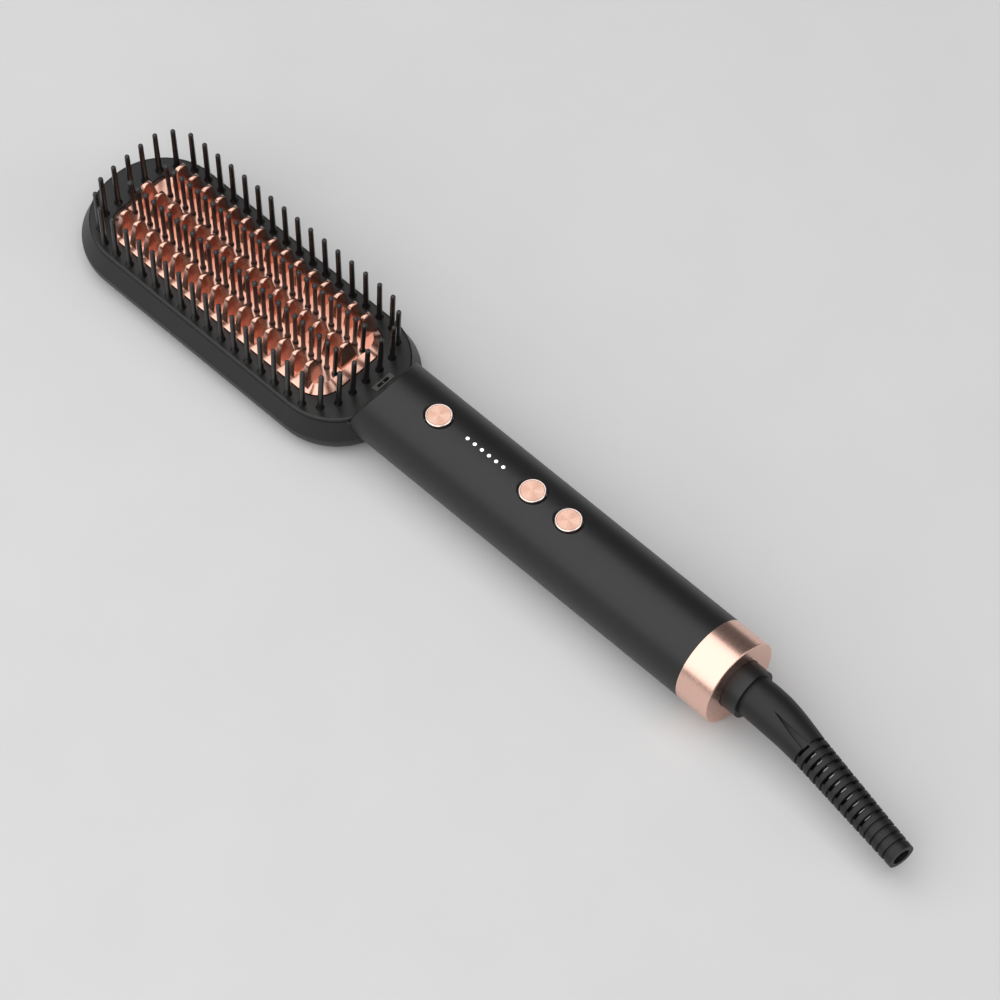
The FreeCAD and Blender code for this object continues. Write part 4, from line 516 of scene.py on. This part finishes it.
def soften_edges(thing, width, angle):
    """Rounds the edges sharper than an angle in degrees, and keeps flat faces flat."""
    select_only(thing)
    bpy.ops.object.shade_smooth_by_angle(angle=math.radians(angle))
    bevel = thing.modifiers.new("rounded edges", "BEVEL")
    bevel.width = width
    bevel.segments = EDGE_SEGMENTS
    bevel.limit_method = "ANGLE"
    bevel.angle_limit = math.radians(angle)
    bevel.harden_normals = True
    bpy.ops.object.modifier_apply(modifier=bevel.name)


print("edges are rounded by", EDGE_ROUND_MM, "mm")

# %% [markdown]
# The steps run from the rim inwards: a chamfer, a flat land, a narrow groove and the
# face. Then the lower end grows the flange, which stops just under the handle's round
# wall, and the stem.

# %% Model one button
button_low, button_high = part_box("power_button")
button_top = button_high.z
BUTTON_SIDES = 96
BUTTON_SHARP_DEGREES = 35
BUTTON_RADIUS = 4.64 * MM
FLANGE_RADIUS = 5.64 * MM
STEM_RADIUS = 1.7 * MM
CHAMFER_MM = 0.16
LAND_MM = 0.3
GROOVE_MM = 0.07
GROOVE_WALL_MM = 0.04
FACE_SINK_MM = 0.02
FLANGE_MM = 0.8
FACE_BORDER_MM = 0.06
AXIS_HEIGHT = 16.0 * MM
TUBE_BORE = 13.8 * MM
FLANGE_GAP = 0.2 * MM
flange_top = AXIS_HEIGHT + math.sqrt(TUBE_BORE ** 2 - FLANGE_RADIUS ** 2) - FLANGE_GAP

cap = new_cylinder("turned_button", BUTTON_RADIUS, flange_top, button_top, BUTTON_SIDES)
pick_end(cap, 1)
bpy.ops.transform.translate(value=(0, 0, -CHAMFER_MM * MM))
step_in(CHAMFER_MM * MM, CHAMFER_MM * MM)
step_in(LAND_MM * MM, 0.0)
step_in(GROOVE_WALL_MM * MM, -GROOVE_MM * MM)
step_in(GROOVE_MM * MM, 0.0)
step_in(GROOVE_WALL_MM * MM, (GROOVE_MM - FACE_SINK_MM) * MM)
step_in(FACE_BORDER_MM * MM, 0.0)
pick_end(cap, -1)
bpy.ops.mesh.extrude_region_move(TRANSFORM_OT_translate={"value": (0, 0, 0)})
widening = FLANGE_RADIUS / BUTTON_RADIUS
bpy.ops.transform.resize(value=(widening, widening, 1.0))
bpy.ops.mesh.extrude_region_move(TRANSFORM_OT_translate={"value": (0, 0, -FLANGE_MM * MM)})
bpy.ops.mesh.inset(thickness=FLANGE_RADIUS - STEM_RADIUS, depth=0.0)
stem_length = flange_top - FLANGE_MM * MM - button_low.z
bpy.ops.mesh.extrude_region_move(TRANSFORM_OT_translate={"value": (0, 0, -stem_length)})
bpy.ops.object.mode_set(mode="OBJECT")
soften_edges(cap, EDGE_ROUND_MM * MM, BUTTON_SHARP_DEGREES)
button_depth = button_top - min(corner.co.z for corner in cap.data.vertices)
print("button faces:", len(cap.data.polygons), "depth, mm:", round(button_depth / MM, 2))

# %% [markdown]
# The face's UV map is laid flat from above, in millimetres, while the button still
# stands at the origin. Then the button is copied for each key, and each copy takes its
# place into its own mesh. It rides on the key's body and replaces the plain CAD button.

# %% Map the face and copy the button to the three keys
def flat_map(thing):
    """A UV map seen from above, in millimetres from the piece's own axis."""
    layer = thing.data.uv_layers.active
    for loop in thing.data.loops:
        spot = thing.data.vertices[loop.vertex_index].co
        layer.data[loop.index].uv = (spot.x / MM, spot.y / MM)


def place_copy(source, name, place):
    """Copies a piece with its own mesh, and puts its place into that mesh."""
    piece = source.copy()
    piece.data = source.data.copy()
    piece.name = name
    piece.data.name = name
    bpy.context.scene.collection.objects.link(piece)
    select_only(piece)
    piece.location = place
    bpy.ops.object.transform_apply(location=True, rotation=True, scale=True)
    return piece


flat_map(cap)
paint(cap, spun_metal)
for key in ("power", "minus", "plus"):
    low_corner, high_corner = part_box(key + "_button")
    middle = (low_corner + high_corner) / 2
    piece = place_copy(cap, key + "_cap", (middle.x, middle.y, 0))
    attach(piece, key + "_key")
    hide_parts(key + "_button")
    print(piece.name, "at x", round(1000 * middle.x, 2), "mm")
bpy.data.objects.remove(cap)

# %% [markdown]
# ## Light lenses
#
# The end of each light column is a low dome, which spreads the light. It could be cut
# from a sphere. Here it is a short cylinder whose top face is inset and lifted three
# times, each time less, with the same helpers as the button.

# %% Model a lens and copy it to the six lights
LENS_SIDES = 32
LENS_SHARP_DEGREES = 60
LENS_RADIUS = 0.66 * MM
LENS_SINK = 0.3 * MM
LENS_STEPS = ((0.10, 0.07), (0.17, 0.05), (0.2, 0.025))
LENS_PITCH = 3.33 * MM
LENS_COUNT = 6
pipe_low, pipe_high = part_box("light_pipe")
pipe_middle = (pipe_low.x + pipe_high.x) / 2
lens = new_cylinder("lens", LENS_RADIUS, pipe_high.z - LENS_SINK, pipe_high.z, LENS_SIDES)
pick_end(lens, 1)
for inset, rise in LENS_STEPS:
    step_in(inset * MM, rise * MM)
bpy.ops.object.mode_set(mode="OBJECT")
soften_edges(lens, EDGE_ROUND_MM * MM, LENS_SHARP_DEGREES)
paint(lens, lit_pipe)
for number in range(LENS_COUNT):
    lens_x = pipe_middle + LENS_PITCH * (number - (LENS_COUNT - 1) / 2)
    piece = place_copy(lens, "light_lens_%d" % (number + 1), (lens_x, 0, 0))
    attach(piece, "housing")
bpy.data.objects.remove(lens)
print("lenses:", LENS_COUNT)

# %% [markdown]
# ## Floor
#
# The brush lies on a plain pale sheet of paper. The floor could curve up into a backdrop,
# but the camera looks down, so a large flat plane is enough. It lies a tenth of a
# millimetre low, so that it doesn't share a plane with the flat back of the head.

# %% Floor
FLOOR_PALE = "#cbcbcb"
FLOOR_PALER = "#d0d0d0"
FLOOR_SIDE = 12.0
FLOOR_DROP = 0.0001
floor_paper, shader = new_finish("matt studio paper", Roughness=0.9, IOR=1.3)
fibre = noise_at(floor_paper, size_mm=40.0)
two_tones(floor_paper, shader, fibre.outputs["Fac"], FLOOR_PALE, FLOOR_PALER)
select_only()
bpy.ops.mesh.primitive_plane_add(size=FLOOR_SIDE, location=(0, 0, -FLOOR_DROP))
floor = bpy.context.active_object
floor.name = "floor"
paint(floor, floor_paper)
print("floor side, m:", floor.dimensions.x)

# %% [markdown]
# ## Lights and sky
#
# One very large softbox hangs over the near side and gives the wide highlight along the
# handle. A small one at the tail lights what faces the cord's end, such as the plate's
# rim. A weak sky fills the shadows. The dark bands beside the highlight are where the
# shell reflects no lamp. An area lamp could be set by its watts alone. A reflection shows
# its glow instead, which is its power over its area, so each softbox is given by its glow.

# %% Lights and sky
def softbox(name, place, tilt, turn, along, across, glow):
    """A rectangular lamp that glows this bright, tilted from facing down, then turned."""
    lamp = bpy.data.lights.new(name, "AREA")
    lamp.shape = "RECTANGLE"
    lamp.size = along
    lamp.size_y = across
    lamp.energy = glow * math.pi * along * across
    thing = bpy.data.objects.new(name, lamp)
    bpy.context.scene.collection.objects.link(thing)
    thing.location = place
    thing.rotation_euler = (math.radians(tilt), 0, math.radians(turn))
    thing.visible_camera = False
    print(name, "power, W:", round(lamp.energy, 1))


softbox("key_softbox", place=(-0.35, -0.55, 1.18), tilt=25.0, turn=0.0,
        along=3.0, across=3.42, glow=1.65)
softbox("tail_softbox", place=(1.6, 0.7, 0.9), tilt=62.7, turn=113.6,
        along=1.4, across=1.0, glow=1.5)
SKY_GREY = "#585859"
sky = bpy.data.worlds.new("studio sky")
bpy.context.scene.world = sky
sky.use_nodes = True
background = sky.node_tree.nodes["Background"]
background.inputs["Color"].default_value = linear(SKY_GREY)
background.inputs["Strength"].default_value = 1.0

# %% [markdown]
# ## Camera
#
# The camera looks down at the brush from beside the cord's end, through a long lens that
# keeps the two ends nearly equal in scale. It could be aimed by a constraint. Its place
# and its turn in degrees are fixed numbers here, so that it never moves by itself.

# %% Camera
CAMERA_PLACE = (0.796548, -0.776236, 1.707445)
CAMERA_TURN = (33.22372, 0.90392, 44.36482)
CAMERA_LENS = 217.039
SENSOR_WIDTH = 36.0
NEAREST_SEEN = 0.01
view = bpy.data.cameras.new("camera")
view.lens = CAMERA_LENS
view.sensor_width = SENSOR_WIDTH
view.clip_start = NEAREST_SEEN
camera = bpy.data.objects.new("camera", view)
bpy.context.scene.collection.objects.link(camera)
camera.location = CAMERA_PLACE
camera.rotation_euler = [math.radians(angle) for angle in CAMERA_TURN]
bpy.context.scene.camera = camera
bpy.context.scene.view_settings.view_transform = "Standard"
print("lens, mm:", view.lens)
